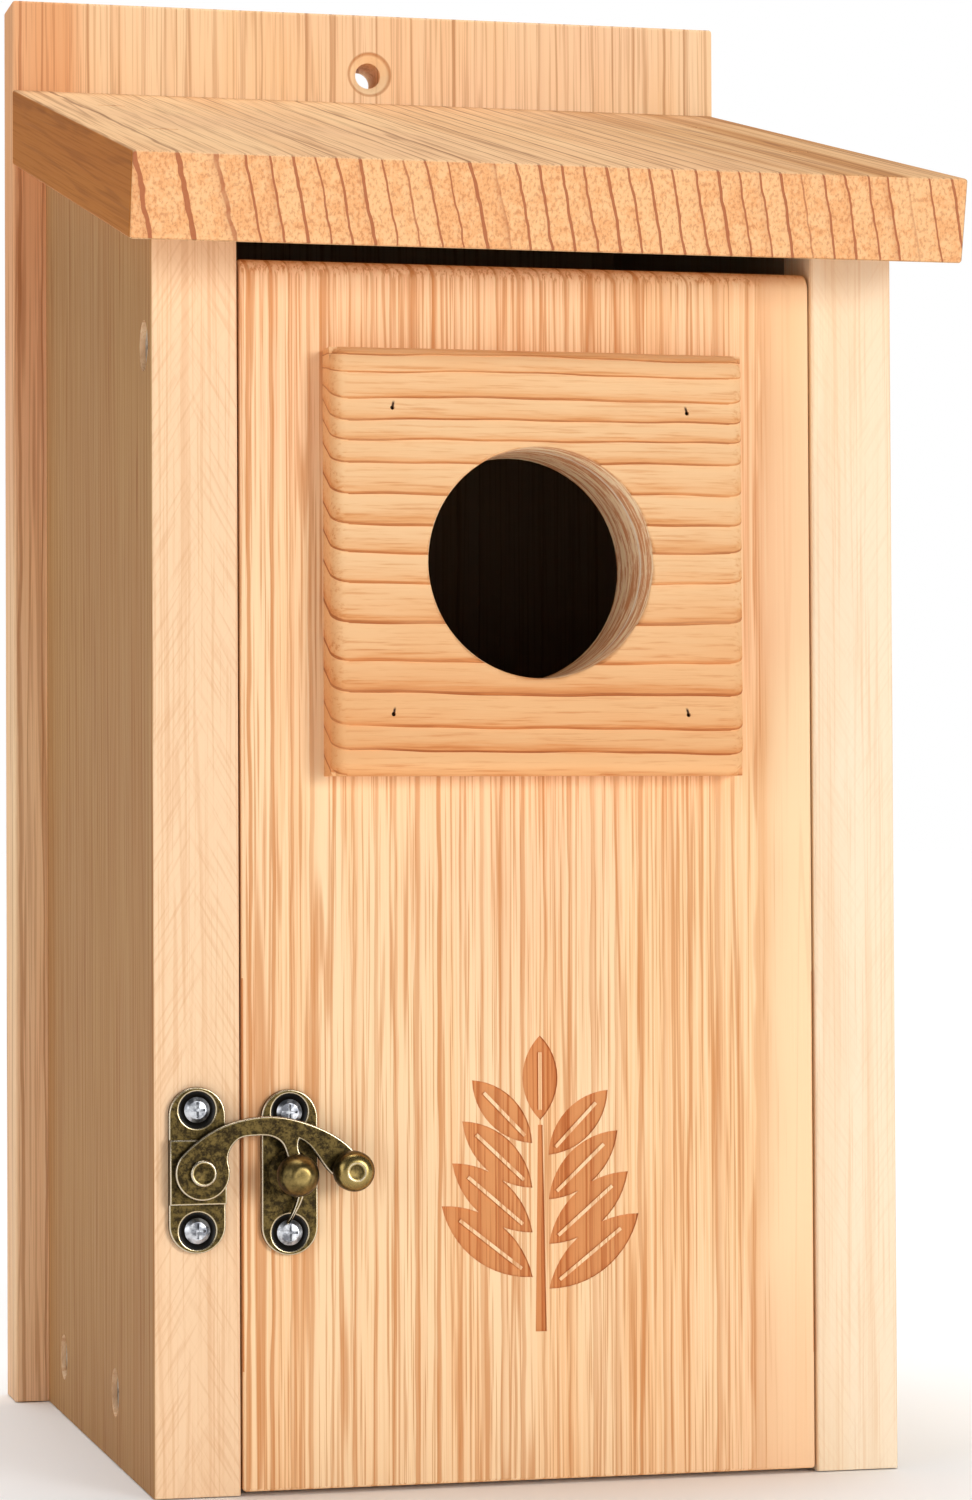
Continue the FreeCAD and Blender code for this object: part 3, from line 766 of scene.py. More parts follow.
def spin_profile(bm: bmesh.types.BMesh, profile: Profile, base: Vector, steps: int = 64) -> None:
    """Spin a profile round a line that runs forward, towards the front of the box.

    Args:
        bm: The bmesh that takes the closed shape; its wear, with painted shade and highlights, is stored
            on the vertices.
        profile: (radius, reach, wear) points, with reach measured forward from the base; wear below 0 is
            painted shade.
        base: Where the line starts.
        steps: Segments round the turn.
    """
    wear_and_painted_light = bm.verts.layers.float.get("wear_and_painted_light") or bm.verts.layers.float.new("wear_and_painted_light")
    verts = [bm.verts.new(base + Vector((radius, -reach, 0.0))) for radius, reach, _ in profile]
    for vert, (_, _, value) in zip(verts, profile):
        vert[wear_and_painted_light] = value
    edges = [bm.edges.new(pair) for pair in zip(verts, verts[1:])]
    bmesh.ops.spin(bm, geom=verts + edges, cent=base, axis=(0, 1, 0), angle=2 * math.pi,
                   steps=steps, use_merge=True, use_duplicate=False)
    bmesh.ops.remove_doubles(bm, verts=bm.verts[:], dist=0.002 * MM)
    bmesh.ops.recalc_face_normals(bm, faces=bm.faces[:])


def arc_profile(centre: tuple[float, float], radius: float, first: float, last: float,
                wear_and_painted_light: float, count: int) -> Profile:
    """Points of an arc for a turned profile.

    Args:
        centre: The arc's centre, as radius and reach.
        radius: The arc's own radius.
        first: Where it starts, in degrees from the turning line's direction.
        last: Where it ends.
        wear_and_painted_light: The wear all along it; it also carries painted shade and highlights.
        count: How many steps it has.

    Returns:
        The points.
    """
    points = []
    for step in range(count + 1):
        angle = math.radians(first + (last - first) * step / count)
        points.append((centre[0] + radius * math.sin(angle), centre[1] + radius * math.cos(angle), wear_and_painted_light))
    return points


# ---- Boards -------------------------------------------------------------------------------------

@dataclass
class Boards:
    """The six boards, each with its own cut of cedar."""

    up: Point = (0.0, 0.0, 1.0)
    slope: float = math.radians(13.5)
    ring_tilt: float = math.radians(5.5)
    log_radius: float = 1.6
    hole_up: float = 151.9 * MM
    hole_radius: float = 19.05 * MM
    hanging_up: float = 255.9 * MM
    hanging_radius: float = 4.25 * MM
    side_middle: float = 56.3 * MM
    front: float = field(init=False)

    def __post_init__(self) -> None:
        """Find the plane of the front from the frame."""
        self.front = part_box("left_side")[0].y

    def panel(self) -> Cedar:
        """The front panel, cut near the pith, with tight rings on its left and plain wood on its right."""
        return Cedar("cedar_panel", self.up, (0.068, -0.02, 0.0), paint(255, 218, 172, 0.97),
                     paint(251, 202, 150, 0.96), paint(206, 136, 78), spacing=3.3 * MM, uneven=1.4 * MM,
                     wobble=0.28 * MM, fade=0.56, lines=0.9, vessels=0.7, streaks=1.2,
                     open_to=(0.018, -0.02, 0.0), open_share=0.62, plain=0.8,
                     blush=paint(253, 205, 160, 0.96), seed=11.0,
                     marks=(CavityShade(), Bore(self.hole_up, self.hole_radius, self.front),
                            Engraving(self.front)))

    def back(self) -> Cedar:
        """The back board, with soft rings and the hanging hole."""
        hanging = Countersink(self.hanging_up, self.hanging_radius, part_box("back_board")[0].y)
        return Cedar("cedar_back", self.up, (0.26, 0.0, 0.0), paint(255, 217, 172, 0.96),
                     paint(252, 204, 152, 0.96), paint(186, 128, 80), spacing=4.6 * MM, fade=0.25,
                     lines=0.8, line_width=0.07, uneven=2.4 * MM, streaks=0.6,
                     blush=paint(254, 210, 168, 0.96),
                     tint=Tint(-54 * MM, -60 * MM, paint(238, 212, 194), 120 * MM, 230 * MM), seed=23.0,
                     marks=(CavityShade(), hanging))

    def left(self) -> Cedar:
        """The left side, with painted shade darkening its outer face."""
        warm, line = paint(250, 210, 168, 0.94), paint(206, 146, 96)
        saw = SawMarks(-self.side_middle, 0.55, warm, line, 0.24, 0.62)
        # The colour for faces that look left is painted shade on the outer face.
        return Cedar("cedar_left", self.up, (-0.02, -0.5, 0.0), paint(254, 220, 182, 0.94), warm, line,
                     lines=0.7, fade=0.3, streaks=1.1, vessels=0.6, blush=paint(253, 218, 174, 0.95),
                     left_shade=paint(193, 172, 140), seed=37.0, marks=(saw, CavityShade()))

    def right(self) -> Cedar:
        """The right side, which is pale."""
        warm, line = paint(252, 226, 192, 0.96), paint(228, 184, 138)
        saw = SawMarks(self.side_middle, -0.6, warm, line, 0.14)
        return Cedar("cedar_right", self.up, (0.1, -0.5, 0.0), paint(254, 233, 204, 0.96), warm, line,
                     lines=0.4, fade=0.2, streaks=0.8, vessels=0.3, blush=paint(254, 228, 190, 0.96),
                     seed=41.0, marks=(saw, CavityShade()))

    def floor(self) -> Cedar:
        """The floor, whose grain runs across the box."""
        return Cedar("cedar_floor", (1.0, 0.0, 0.0), (0.0, 0.3, -0.08), paint(244, 200, 154, 0.9),
                     paint(236, 184, 134, 0.9), paint(196, 132, 84), seed=53.0)

    def roof(self) -> Cedar:
        """The roof, whose grain runs down its slope to the sawn end in front."""
        grain = Vector((0.0, math.cos(self.slope), math.sin(self.slope)))
        square = Vector((0.0, -math.sin(self.slope), math.cos(self.slope)))
        across = Vector((-math.cos(self.ring_tilt), 0.0, 0.0))
        pith = across * self.log_radius - square * math.sin(self.ring_tilt) * self.log_radius
        # The colour for faces that look left is painted shade on the roof's left face.
        return Cedar("cedar_roof", tuple(grain), tuple(pith), paint(241, 196, 145, 0.93),
                     paint(232, 180, 128, 0.93), paint(140, 92, 54), spacing=3.6 * MM, wander=0.7 * MM,
                     wobble=0.3 * MM, line_width=0.07, open_to=(-53 * MM, self.front, 215 * MM),
                     uneven=1.0 * MM, lines=0.9, fade=0.24, streaks=0.6, vessels=0.45, calm=0.4,
                     blush=paint(234, 186, 138, 0.92), left_shade=paint(208, 164, 98),
                     end_pale=paint(251, 194, 137, 0.96), end_deep=paint(244, 177, 118, 0.94),
                     end_line=paint(172, 98, 60), seed=67.0,
                     tint=Tint(20 * MM, 52 * MM, paint(214, 192, 160), patches=0.6))

    def build(self) -> None:
        """Dress every board."""
        finishes = {"front_panel": self.panel(), "back_board": self.back(), "left_side": self.left(),
                    "right_side": self.right(), "floor": self.floor(), "roof": self.roof()}
        for node, finish in finishes.items():
            dress(node, finish.material())


# ---- Guard plate --------------------------------------------------------------------------------

@dataclass
class GuardPlate:
    """The brushed guard round the entrance: each growth ring stands out like a lapped shingle."""

    ring_widths: tuple[float, ...] = (4.0, 2.7, 2.8, 4.2, 3.5, 3.3, 3.7, 5.0, 5.0, 4.5, 4.9, 6.7, 6.4,
                                      5.2, 5.6, 3.9, 4.9, 5.0)
    ring_start: float = 5.2 * MM
    shelf: tuple[tuple[float, float], ...] = ((0.0, 1.0), (0.04, 0.97), (0.2, 0.74), (0.4, 0.46),
                                              (0.6, 0.22), (0.78, 0.06), (0.9, 0.0), (0.95, 0.1),
                                              (0.985, 0.6))
    columns: int = 170
    relief: float = 0.42 * MM
    corner: float = 2.6 * MM
    lean: float = 0.5
    hole_radius: float = 19.05 * MM
    hole_edge: float = 0.3 * MM
    top_hold: float = 8 * MM
    waves: tuple[tuple[float, float, float, float], ...] = (
        (0.3 * MM, 46.0, 75.0, 0.5), (0.11 * MM, 140.0, -170.0, 2.1), (0.06 * MM, 390.0, 430.0, 4.0))
    brads: tuple[str, ...] = ("guard_brad_lower_left", "guard_brad_lower_right",
                              "guard_brad_upper_left", "guard_brad_upper_right")
    brad_radius: float = 0.36 * MM
    low: Vector = field(init=False)
    high: Vector = field(init=False)
    middle: float = field(init=False)

    def __post_init__(self) -> None:
        """Take the plate's size from the frame."""
        self.low, self.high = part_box("hole_guard")
        self.middle = (self.low.z + self.high.z) / 2

    def wave(self, x: float, z: float) -> float:
        """How far the rings rise at a distance x and about a height z."""
        return sum(height * math.sin(rate * x + climb * z + start)
                   for height, rate, climb, start in self.waves)

    def ring_tops(self) -> list[float]:
        """Heights of the rings' upper edges from the top down, reaching beyond both ends of the plate."""
        tops = [self.high.z + self.ring_start]
        for width in self.ring_widths:
            tops.append(tops[-1] - width * MM)
        return tops

    def rounding(self, x: float, z: float) -> float:
        """How far the plate's softened border curves back."""
        over_x = max(0.0, abs(x) - (self.high.x - self.corner))
        over_z = max(0.0, abs(z - self.middle) - ((self.high.z - self.low.z) / 2 - self.corner))
        reach = min(math.hypot(over_x, over_z), self.corner)
        return self.corner - math.sqrt(max(0.0, self.corner ** 2 - reach ** 2))

    def point(self, across: float, level: float, sunk: float) -> Vector:
        """A point of the ridged face.

        Args:
            across: Place across the plate, from -1 to 1.
            level: Height on the ring scale.
            sunk: How deep it lies behind the ring's crest, from 0 to 1.

        Returns:
            The point.
        """
        x = self.high.x * math.sin(across * math.pi / 2)
        flat = level + self.wave(x, level)
        hold = min(max((self.high.z - flat) / self.top_hold, 0.0), 1.0)
        z = flat + hold * self.lean * self.rounding(x, self.middle)
        back = self.relief * sunk + self.rounding(x, z)
        return Vector((x, self.low.y + min(back, 0.75 * (self.high.y - self.low.y)), z))

    def face(self) -> bmesh.types.BMesh:
        """The ridged face, cut level at the plate's top and underside."""
        tops = self.ring_tops()
        rows = [(upper + (lower - upper) * part, sunk)
                for upper, lower in zip(tops, tops[1:]) for part, sunk in self.shelf]
        rows.append((tops[-1], 1.0))
        bm = bmesh.new()
        bmesh.ops.create_grid(bm, x_segments=self.columns, y_segments=len(rows) - 1, size=0.5)
        for vert in bm.verts:
            level, sunk = rows[round((0.5 - vert.co.y) * (len(rows) - 1))]
            vert.co = self.point(2 * vert.co.x, level, sunk)
        for height, up in ((self.high.z, 1.0), (self.low.z, -1.0)):
            bmesh.ops.bisect_plane(bm, geom=bm.verts[:] + bm.edges[:] + bm.faces[:],
                                   plane_co=(0, 0, height), plane_no=(0, 0, up), clear_outer=True)
        return bm

    def plate(self) -> bmesh.types.BMesh:
        """The closed plate, before its holes."""
        bm = self.face()
        rim = [edge for edge in bm.edges if edge.is_boundary]
        made = bmesh.ops.extrude_edge_only(bm, edges=rim)["geom"]
        for vert in (item for item in made if isinstance(item, bmesh.types.BMVert)):
            vert.co.y = self.high.y
        bmesh.ops.remove_doubles(bm, verts=bm.verts[:], dist=0.01 * MM)
        bmesh.ops.holes_fill(bm, edges=[edge for edge in bm.edges if edge.is_boundary], sides=0)
        bmesh.ops.recalc_face_normals(bm, faces=bm.faces[:])
        return bm

    def cutter(self, material: bpy.types.Material) -> bpy.types.Object:
        """The round cutter for the entrance, flared where it meets the face, and one for each brad.

        Args:
            material: The finish that the cut faces take.

        Returns:
            The cutter, as one object.
        """
        bm = bmesh.new()
        past = 4 * MM
        flare = past + self.high.y - self.low.y - 0.5 * self.relief
        wide = self.hole_radius + self.hole_edge
        entrance = [(0.0, 0.0, 0.0), (self.hole_radius, 0.0, 0.0),
                    (self.hole_radius, flare - self.hole_edge, 0.0), (wide, flare, 0.0),
                    (wide + past, flare + past, 0.0), (0.0, flare + past, 0.0)]
        spin_profile(bm, entrance, Vector((0.0, self.high.y + past, self.middle)), 160)
        reach = 3 * MM
        pin = [(0.0, 0.0, 0.0), (self.brad_radius, 0.0, 0.0), (self.brad_radius, reach, 0.0),
               (0.0, reach, 0.0)]
        for node in self.brads:
            across, up = middle_of(node)
            spin_profile(bm, pin, Vector((across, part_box(node)[0].y + 0.3 * MM, up)), 16)
        return to_piece(bm, "cutter", material)

    def cracks(self, g: Graph) -> Socket:
        """Short dark splits beside the brads, where the wood gave way.

        Args:
            g: The node tree.

        Returns:
            Where they are, from 0 to 1.
        """
        x, _, z = g.axes()
        share: Value = 0.0
        for number, node in enumerate(self.brads):
            across, up = middle_of(node)
            above = g.total(z, -up)
            off = g.total(x, -across, g.times(above, 0.25 if number % 2 else -0.2))
            line = g.near(off, 0.0, 0.3 * MM, 0.1 * MM)
            share = g.math("MAXIMUM", share, g.times(line, g.near(above, 0.4 * MM, 0.9 * MM, 0.3 * MM)))
        return share

    def phase(self, g: Graph) -> Socket:
        """Find the ring that each place is in.

        Args:
            g: The node tree.

        Returns:
            The ring, counted from the top, with a fraction for how far down the ring the place is.
        """
        x, y, z = g.axes()
        side = self.high.x - self.corner
        border = g.rise(g.math("ABSOLUTE", x), side - 0.2 * MM, side + 0.2 * MM)
        hold = g.math("DIVIDE", g.math("SUBTRACT", self.high.z, z), self.top_hold, clamp=True)
        level = g.total(z, g.times(g.total(y, -self.low.y), border, hold, -self.lean))
        wave: Value = 0.0
        for height, rate, climb, start in self.waves:
            turn = g.total(g.times(x, rate), g.times(level, climb), start)
            wave = g.total(wave, g.times(g.math("SINE", turn), height))
        level = g.total(level, g.times(wave, -1.0), g.swing(g.drawn((60.0, 300.0, 300.0), 3.0), 0.3 * MM))
        tops = self.ring_tops()
        reach, count = tops[0] - tops[-1], len(self.ring_widths)
        stops = [((tops[0] - top) / reach, (number / count,) * 3) for number, top in enumerate(tops)]
        share = g.math("DIVIDE", g.math("SUBTRACT", tops[0], level), reach)
        return g.times(g.along(g.ramp(share, stops), (1, 0, 0)), float(count))

    def finish(self) -> bpy.types.Material:
        """Build a cedar whose colour follows the ridges.

        Returns:
            The new material.
        """
        g = Graph("cedar_guard")
        x, _, z = g.axes()
        phase = self.phase(g)
        part, ring = g.math("FRACT", phase), g.math("FLOOR", phase)
        hair = g.drawn((70.0, 1600.0, 1600.0), 3.0, 0.7)
        coarse = g.drawn((22.0, 420.0, 420.0), 3.0)
        bite = g.total(0.7, g.times(g.chance(ring, 2.0), 0.3))
        late = g.times(g.math("POWER", g.rise(part, 0.1, 1.0), 1.5), bite)
        # Painted shade: faces that look left at the plate's left border, away from the key lamp; their
        # ring lines are drawn darker and their colour is multiplied darker below.
        left = g.times(g.rise(g.along(g.facing, (-1, 0, 0)), 0.2, 0.9), g.math("LESS_THAN", x, -25 * MM))
        line = g.times(g.rise(part, 0.88, 0.94), g.total(0.4, g.times(left, 0.4)))
        tone = g.total(g.times(late, 0.64), line, g.swing(coarse, 0.7), g.swing(hair, 0.8),
                       g.swing(g.chance(ring, 6.0), 0.16))
        colour = g.ramp(tone, [(0.0, paint(250, 204, 152, 0.9)), (0.3, paint(247, 194, 140, 0.89)),
                               (0.55, paint(236, 170, 110, 0.89)), (0.8, paint(214, 142, 84, 0.93)),
                               (1.0, paint(172, 104, 56))])
        streak = g.times(g.rise(hair, 0.52, 0.68), g.total(0.25, g.times(part, 0.5)))
        broad = g.rise(g.noise(g.position, 30.0), 0.42, 0.65)
        heart = g.rise(z, self.middle + 4 * MM, self.low.z + 8 * MM)
        # The third coat is the painted shade on left-facing faces.
        for share, shade, blend in ((streak, paint(206, 136, 78), "MIX"),
                                    (g.times(broad, 0.4), paint(240, 184, 128, 0.93), "MIX"),
                                    (left, paint(246, 234, 222), "MULTIPLY"),
                                    (g.times(heart, 0.9), paint(248, 232, 216), "MULTIPLY")):
            colour = g.mix(share, colour, shade, blend)
        colour = Bore(self.middle, self.hole_radius, self.high.y).over(g, colour)
        colour = g.mix(self.cracks(g), colour, paint(58, 30, 14))
        g.surface(colour, g.total(0.55, g.times(hair, 0.25)), specular=0.28)
        g.bump(g.total(g.times(hair, 0.5), g.times(coarse, 0.5)), 0.14 * MM, 0.8)
        return g.material

    def build(self) -> None:
        """Build the plate, cut its holes and tie it to the front."""
        material = self.finish()
        piece = to_piece(self.plate(), "guard_plate", material, 50.0)
        cutter = self.cutter(material)
        cut = piece.modifiers.new("holes", "BOOLEAN")
        cut.operation = "DIFFERENCE"
        cut.solver = "EXACT"
        cut.object = cutter
        bpy.context.view_layer.update()
        shaped = piece.evaluated_get(bpy.context.evaluated_depsgraph_get())
        whole = bpy.data.meshes.new_from_object(shaped)
        piece.modifiers.clear()
        piece.data = whole
        bpy.data.objects.remove(cutter)
        whole.set_sharp_from_angle(angle=math.radians(48.0))
        place_piece(piece, "front", ["hole_guard"])


# ---- Latch --------------------------------------------------------------------------------------

@dataclass(frozen=True)
class Rim:
    """How an outline is carried from the back of a sheet to its front: (inset, depth, wear) steps, where
    wear below 0 is painted shade.

    Insets run into the sheet's material, and depth is measured back from its face.
    """

    steps: tuple[tuple[float, float, float], ...]

    @staticmethod
    def outer(thickness: float, edge: float = 0.17 * MM, bright: float = 0.14 * MM) -> "Rim":
        """A rounded edge, rubbed bright."""
        return Rim(((0.0, thickness, 0.0), (0.0, 2.2 * edge, 0.05), (0.0, edge, 0.7),
                    (0.3 * edge, 0.3 * edge, 1.0), (edge, 0.0, 1.0), (edge + bright, 0.0, 0.0)))

    @staticmethod
    def dish(thickness: float, bottom: float) -> "Rim":
        """A pressed dish: a bright lip and a cone painted near-black as shade, that closes in by bottom.
        """
        return Rim(((-bottom, thickness, -1.0), (-0.95 * bottom, 0.9 * thickness, -1.0),
                    (-0.12 * MM, 0.14 * MM, -1.0), (-0.02 * MM, 0.06 * MM, 0.8), (0.08 * MM, 0.0, 1.0),
                    (0.24 * MM, 0.0, 0.0)))

    @staticmethod
    def bored(thickness: float) -> "Rim":
        """A plain hole with a straight wall."""
        return Rim(((0.0, thickness, 0.0), (0.0, 0.0, 0.0)))


@dataclass
class Sheet:
    """A flat pressed part, built from outlines seen from the front.

    An outline runs anticlockwise round the sheet and clockwise round a hole, so its material is on its
    left.
    """

    face: float
    bm: bmesh.types.BMesh = field(default_factory=bmesh.new)

    def __post_init__(self) -> None:
        """Store wear, with painted shade, and each vertex's place in its outline."""
        self.wear_and_painted_light = self.bm.verts.layers.float.new("wear_and_painted_light")
        self.place = self.bm.verts.layers.int.new("place")

    @staticmethod
    def inset(loop: Sequence[Vector], amount: float) -> list[Vector]:
        """An outline moved into its material, with sharp corners held back."""
        moved = []
        for index, point in enumerate(loop):
            before = (point - loop[index - 1]).normalized()
            after = (loop[(index + 1) % len(loop)] - point).normalized()
            first, second = Vector((-before.y, before.x)), Vector((-after.y, after.x))
            moved.append(point + (first + second) * (amount / max(0.45, 1.0 + first.dot(second))))
        return moved

    def carry(self, loop: Sequence[Vector], rim: Rim) -> tuple[Edges, Edges]:
        """Carry one outline from the back of the sheet to the front.

        Args:
            loop: The outline.
            rim: The steps that it takes.

        Returns:
            Its first and its last edges.
        """
        edges: Edges = []
        first: Edges = []
        for inset, depth, wear_and_painted_light in rim.steps:
            spots = self.inset(loop, inset)
            if not edges:
                verts = [self.bm.verts.new((0, 0, 0)) for _ in loop]
                for index, vert in enumerate(verts):
                    vert[self.place] = index
                edges = [self.bm.edges.new((verts[i - 1], verts[i])) for i in range(len(verts))]
                first = edges
            else:
                made = bmesh.ops.extrude_edge_only(self.bm, edges=edges)["geom"]
                verts = [item for item in made if isinstance(item, bmesh.types.BMVert)]
                new = set(verts)
                edges = [item for item in made
                         if isinstance(item, bmesh.types.BMEdge) and set(item.verts) <= new]
            for vert in verts:
                spot = spots[vert[self.place]]
                vert.co = (spot.x, self.face + depth, spot.y)
                vert[self.wear_and_painted_light] = wear_and_painted_light
        return first, edges

    def build(self, outlines: Sequence[tuple[Sequence[Vector], Rim]]) -> None:
        """Add a closed sheet with these outlines."""
        carried = [self.carry(loop, rim) for loop, rim in outlines]
        for side in (0, 1):
            edges = [edge for ends in carried for edge in ends[side]]
            bmesh.ops.triangle_fill(self.bm, use_beauty=True, use_dissolve=False, edges=edges,
                                    normal=(0, -1, 0))
        bmesh.ops.recalc_face_normals(self.bm, faces=self.bm.faces[:])


def circle_outline(centre: Vector, radius: float, hole: bool = False, count: int = 48) -> list[Vector]:
    """A circle as an outline, clockwise for a hole."""
    turn = (-1 if hole else 1) * 2 * math.pi / count
    return [centre + radius * Vector((math.cos(turn * i), math.sin(turn * i))) for i in range(count)]


def round_ended_outline(centre: Vector, width: float, height: float, count: int = 28) -> list[Vector]:
    """An upright outline with full round ends."""
    radius = width / 2
    points = []
    for end, start in ((1, 0.0), (-1, math.pi)):
        middle = centre + Vector((0.0, end * (height / 2 - radius)))
        for i in range(count + 1):
            angle = start + math.pi * i / count
            points.append(middle + radius * Vector((math.cos(angle), math.sin(angle))))
    return points


def front_outlines(node: str) -> list[list[Vector]]:
    """The outlines of a CAD node's foremost flat face, with its material on the left.

    Args:
        node: The CAD node.

    Returns:
        Its outlines, as points across and up.
    """
    bm = bmesh.new()
    bm.from_mesh(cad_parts[node].data)
    bmesh.ops.remove_doubles(bm, verts=bm.verts[:], dist=0.004 * MM)
    front = min(vert.co.y for vert in bm.verts)
    flat = {face for face in bm.faces
            if face.normal.y < -0.99 and face.calc_center_median().y < front + 0.02 * MM}
    after = {}
    for face in flat:
        for corner in face.loops:
            if not any(other in flat for other in corner.edge.link_faces if other is not face):
                after[corner.vert] = corner.link_loop_next.vert
    outlines = []
    while after:
        vert, following = after.popitem()
        outline = [vert]
        while following is not vert:
            outline.append(following)
            following = after.pop(following)
        outlines.append([Vector((v.co.x, v.co.z)) for v in outline])
    bm.free()
    return outlines


@dataclass
class Latch:
    """The brass swing hook with its two plates, post, rivet and knob."""

    plate: float = 1.2 * MM
    block_height: float = 10.5 * MM
    screw_reach: float = 9.8 * MM
    dish_radius: float = 3.1 * MM
    dish_cone: float = 1.3 * MM
    keeper_bore: float = 1.1 * MM
    brass: bpy.types.Material = field(init=False)

    def __post_init__(self) -> None:
        """Make the brass once for every piece."""
        self.brass = AgedBrass().material()

    def finish_sheet(self, sheet: Sheet, name: str, body: str, node: str) -> None:
        """Make a piece of a sheet and tie it to its body."""
        place_piece(to_piece(sheet.bm, name, self.brass, 46.0), body, [node])

    def dished_plate(self, node: str, bore: float = 0.0) -> Sheet:
        """A round-ended plate with a dish for each screw and a bore in the middle.

        Args:
            node: The CAD node that gives its size.
            bore: The radius of the middle hole, or 0 for none.

        Returns:
            The sheet.
        """
        low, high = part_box(node)
        centre = Vector(middle_of(node))
        sheet = Sheet(high.y - self.plate)
        outlines = [(round_ended_outline(centre, high.x - low.x, high.z - low.z), Rim.outer(self.plate))]
        for sign in (-1, 1):
            spot = centre + Vector((0.0, sign * self.screw_reach))
            dish = circle_outline(spot, self.dish_radius, hole=True)
            outlines.append((dish, Rim.dish(self.plate, self.dish_cone)))
        if bore:
            outlines.append((circle_outline(centre, bore, hole=True), Rim.bored(self.plate)))
        sheet.build(outlines)
        return sheet

    def base_plate(self) -> None:
        """The hook's plate, with the raised block that the hook turns on."""
        sheet = self.dished_plate("latch_base")
        low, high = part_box("latch_base")
        _, middle = middle_of("latch_rivet")
        block = [Vector((x, middle + z * self.block_height / 2))
                 for x, z in ((low.x, -1), (high.x, -1), (high.x, 1), (low.x, 1))]
        sheet.face = low.y
        depth = high.y - self.plate - low.y
        sheet.build([(block, Rim.outer(depth + 0.3 * MM, 0.14 * MM, 0.16 * MM))])
        self.finish_sheet(sheet, "latch_base_plate", "case", "latch_base")

    def keeper(self) -> None:
        """The plate on the front panel."""
        sheet = self.dished_plate("keeper_plate", self.keeper_bore)
        self.finish_sheet(sheet, "keeper_plate_pressed", "front", "keeper_plate")

    def arm(self) -> None:
        """The hook's flat arm."""
        sheet = Sheet(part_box("hook_arm")[0].y)
        thick = depth_of("hook_arm")
        outlines = front_outlines("hook_arm")
        longest = max(outlines, key=len)
        sheet.build([(loop, Rim.outer(thick) if loop is longest else Rim.bored(thick))
                     for loop in outlines])
        self.finish_sheet(sheet, "hook_arm_pressed", "hook", "hook_arm")

    def spun(self, node: str, name: str, body: str, profile: Profile) -> None:
        """Replace a turned node with a finer profile from the same base.

        Args:
            node: The CAD node.
            name: The new piece's name.
            body: The body that it rides on.
            profile: Its profile.
        """
        across, up = middle_of(node)
        bm = bmesh.new()
        spin_profile(bm, profile, Vector((across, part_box(node)[1].y, up)))
        place_piece(to_piece(bm, name, self.brass, 50.0), body, [node])

    @staticmethod
    def stem(radius: float, reach: float) -> Profile:
        """The stem that every turned part stands on, painted near-black as the shade under the part."""
        return [(0.0, 0.0, -1.0), (radius, 0.0, -1.0), (radius, reach, -1.0)]

    def rivet_profile(self) -> Profile:
        """A stem under a low head with a bright shoulder and a dull middle."""
        length = depth_of("latch_rivet")
        stem, head, shoulder = 1.5 * MM, 2.15 * MM, 0.3 * MM
        under = length - 0.8 * MM
        rounding = arc_profile((head - shoulder, length - shoulder), shoulder, 90, 0, 0.85, 5)
        front = [(head - 1.5 * shoulder, length - 0.02 * MM, 0.5),
                 (head - 1.9 * shoulder, length - 0.1 * MM, 0.1), (0.0, length - 0.1 * MM, 0.16)]
        return self.stem(stem, under) + [(head, under, 0.2)] + rounding + front

    def post_profile(self) -> Profile:
        """A domed foot, a slim neck and a ball with a flattened front."""
        length = depth_of("keeper_post")
        ball, neck, foot = 3.45 * MM, 1.0 * MM, 3.7 * MM
        middle = length - ball
        # The neck where the dome meets the ball is painted shade (value below 0).
        dome = [(foot, self.plate, 0.0), (foot - 0.12 * MM, self.plate + 0.3 * MM, 0.12),
                (0.7 * foot, self.plate + 0.65 * MM, 0.0), (neck, self.plate + 0.8 * MM, -0.4)]
        start = 180 - math.degrees(math.asin(neck / ball))
        round_back = arc_profile((0.0, middle), ball, start, 60, 0.16, 12)
        # The shoulder and the flat front carry more wear than the back of the ball: a softened painted
        # highlight ring.
        shoulder = arc_profile((0.0, middle), ball, 54, 26, 0.3, 6)
        flat = length - 0.34 * MM
        front = [(0.3 * ball, flat, 0.36), (0.0, flat + 0.04 * MM, 0.26)]
        return self.stem(neck, self.plate) + dome + round_back + shoulder + front

    def knob_profile(self) -> Profile:
        """A short waist and a barrel with a rounded, flattened end, whose rounding and front ring carry
        painted highlights.
        """
        length = depth_of("hook_knob")
        radius, stem, arm, curve = 3.3 * MM, 1.0 * MM, 1.4 * MM, 1.9 * MM
        waist = [(0.62 * radius, arm, 0.0), (0.8 * radius, arm + 0.35 * MM, 0.2),
                 (0.95 * radius, arm + 0.95 * MM, 0.15), (radius, arm + 1.7 * MM, 0.15)]
        # The end's rounding and the bright ring round the flat front paint the highlights of a ring
        # reflection; the side is left duller.
        side = arc_profile((radius - curve, length - curve), curve, 90, 56, 0.2, 5)
        end = arc_profile((radius - curve, length - curve), curve, 48, 12, 0.5, 5)
        front = [(0.42 * radius, length - 0.02 * MM, 0.8), (0.34 * radius, length - 0.1 * MM, 0.2),
                 (0.0, length - 0.12 * MM, 0.24)]
        return self.stem(stem, arm) + waist + side + end + front

    def build(self) -> None:
        """Build the latch piece by piece."""
        self.base_plate()
        self.keeper()
        self.arm()
        self.spun("latch_rivet", "latch_rivet_turned", "case", self.rivet_profile())
        self.spun("keeper_post", "keeper_post_turned", "front", self.post_profile())
        self.spun("hook_knob", "hook_knob_turned", "hook", self.knob_profile())


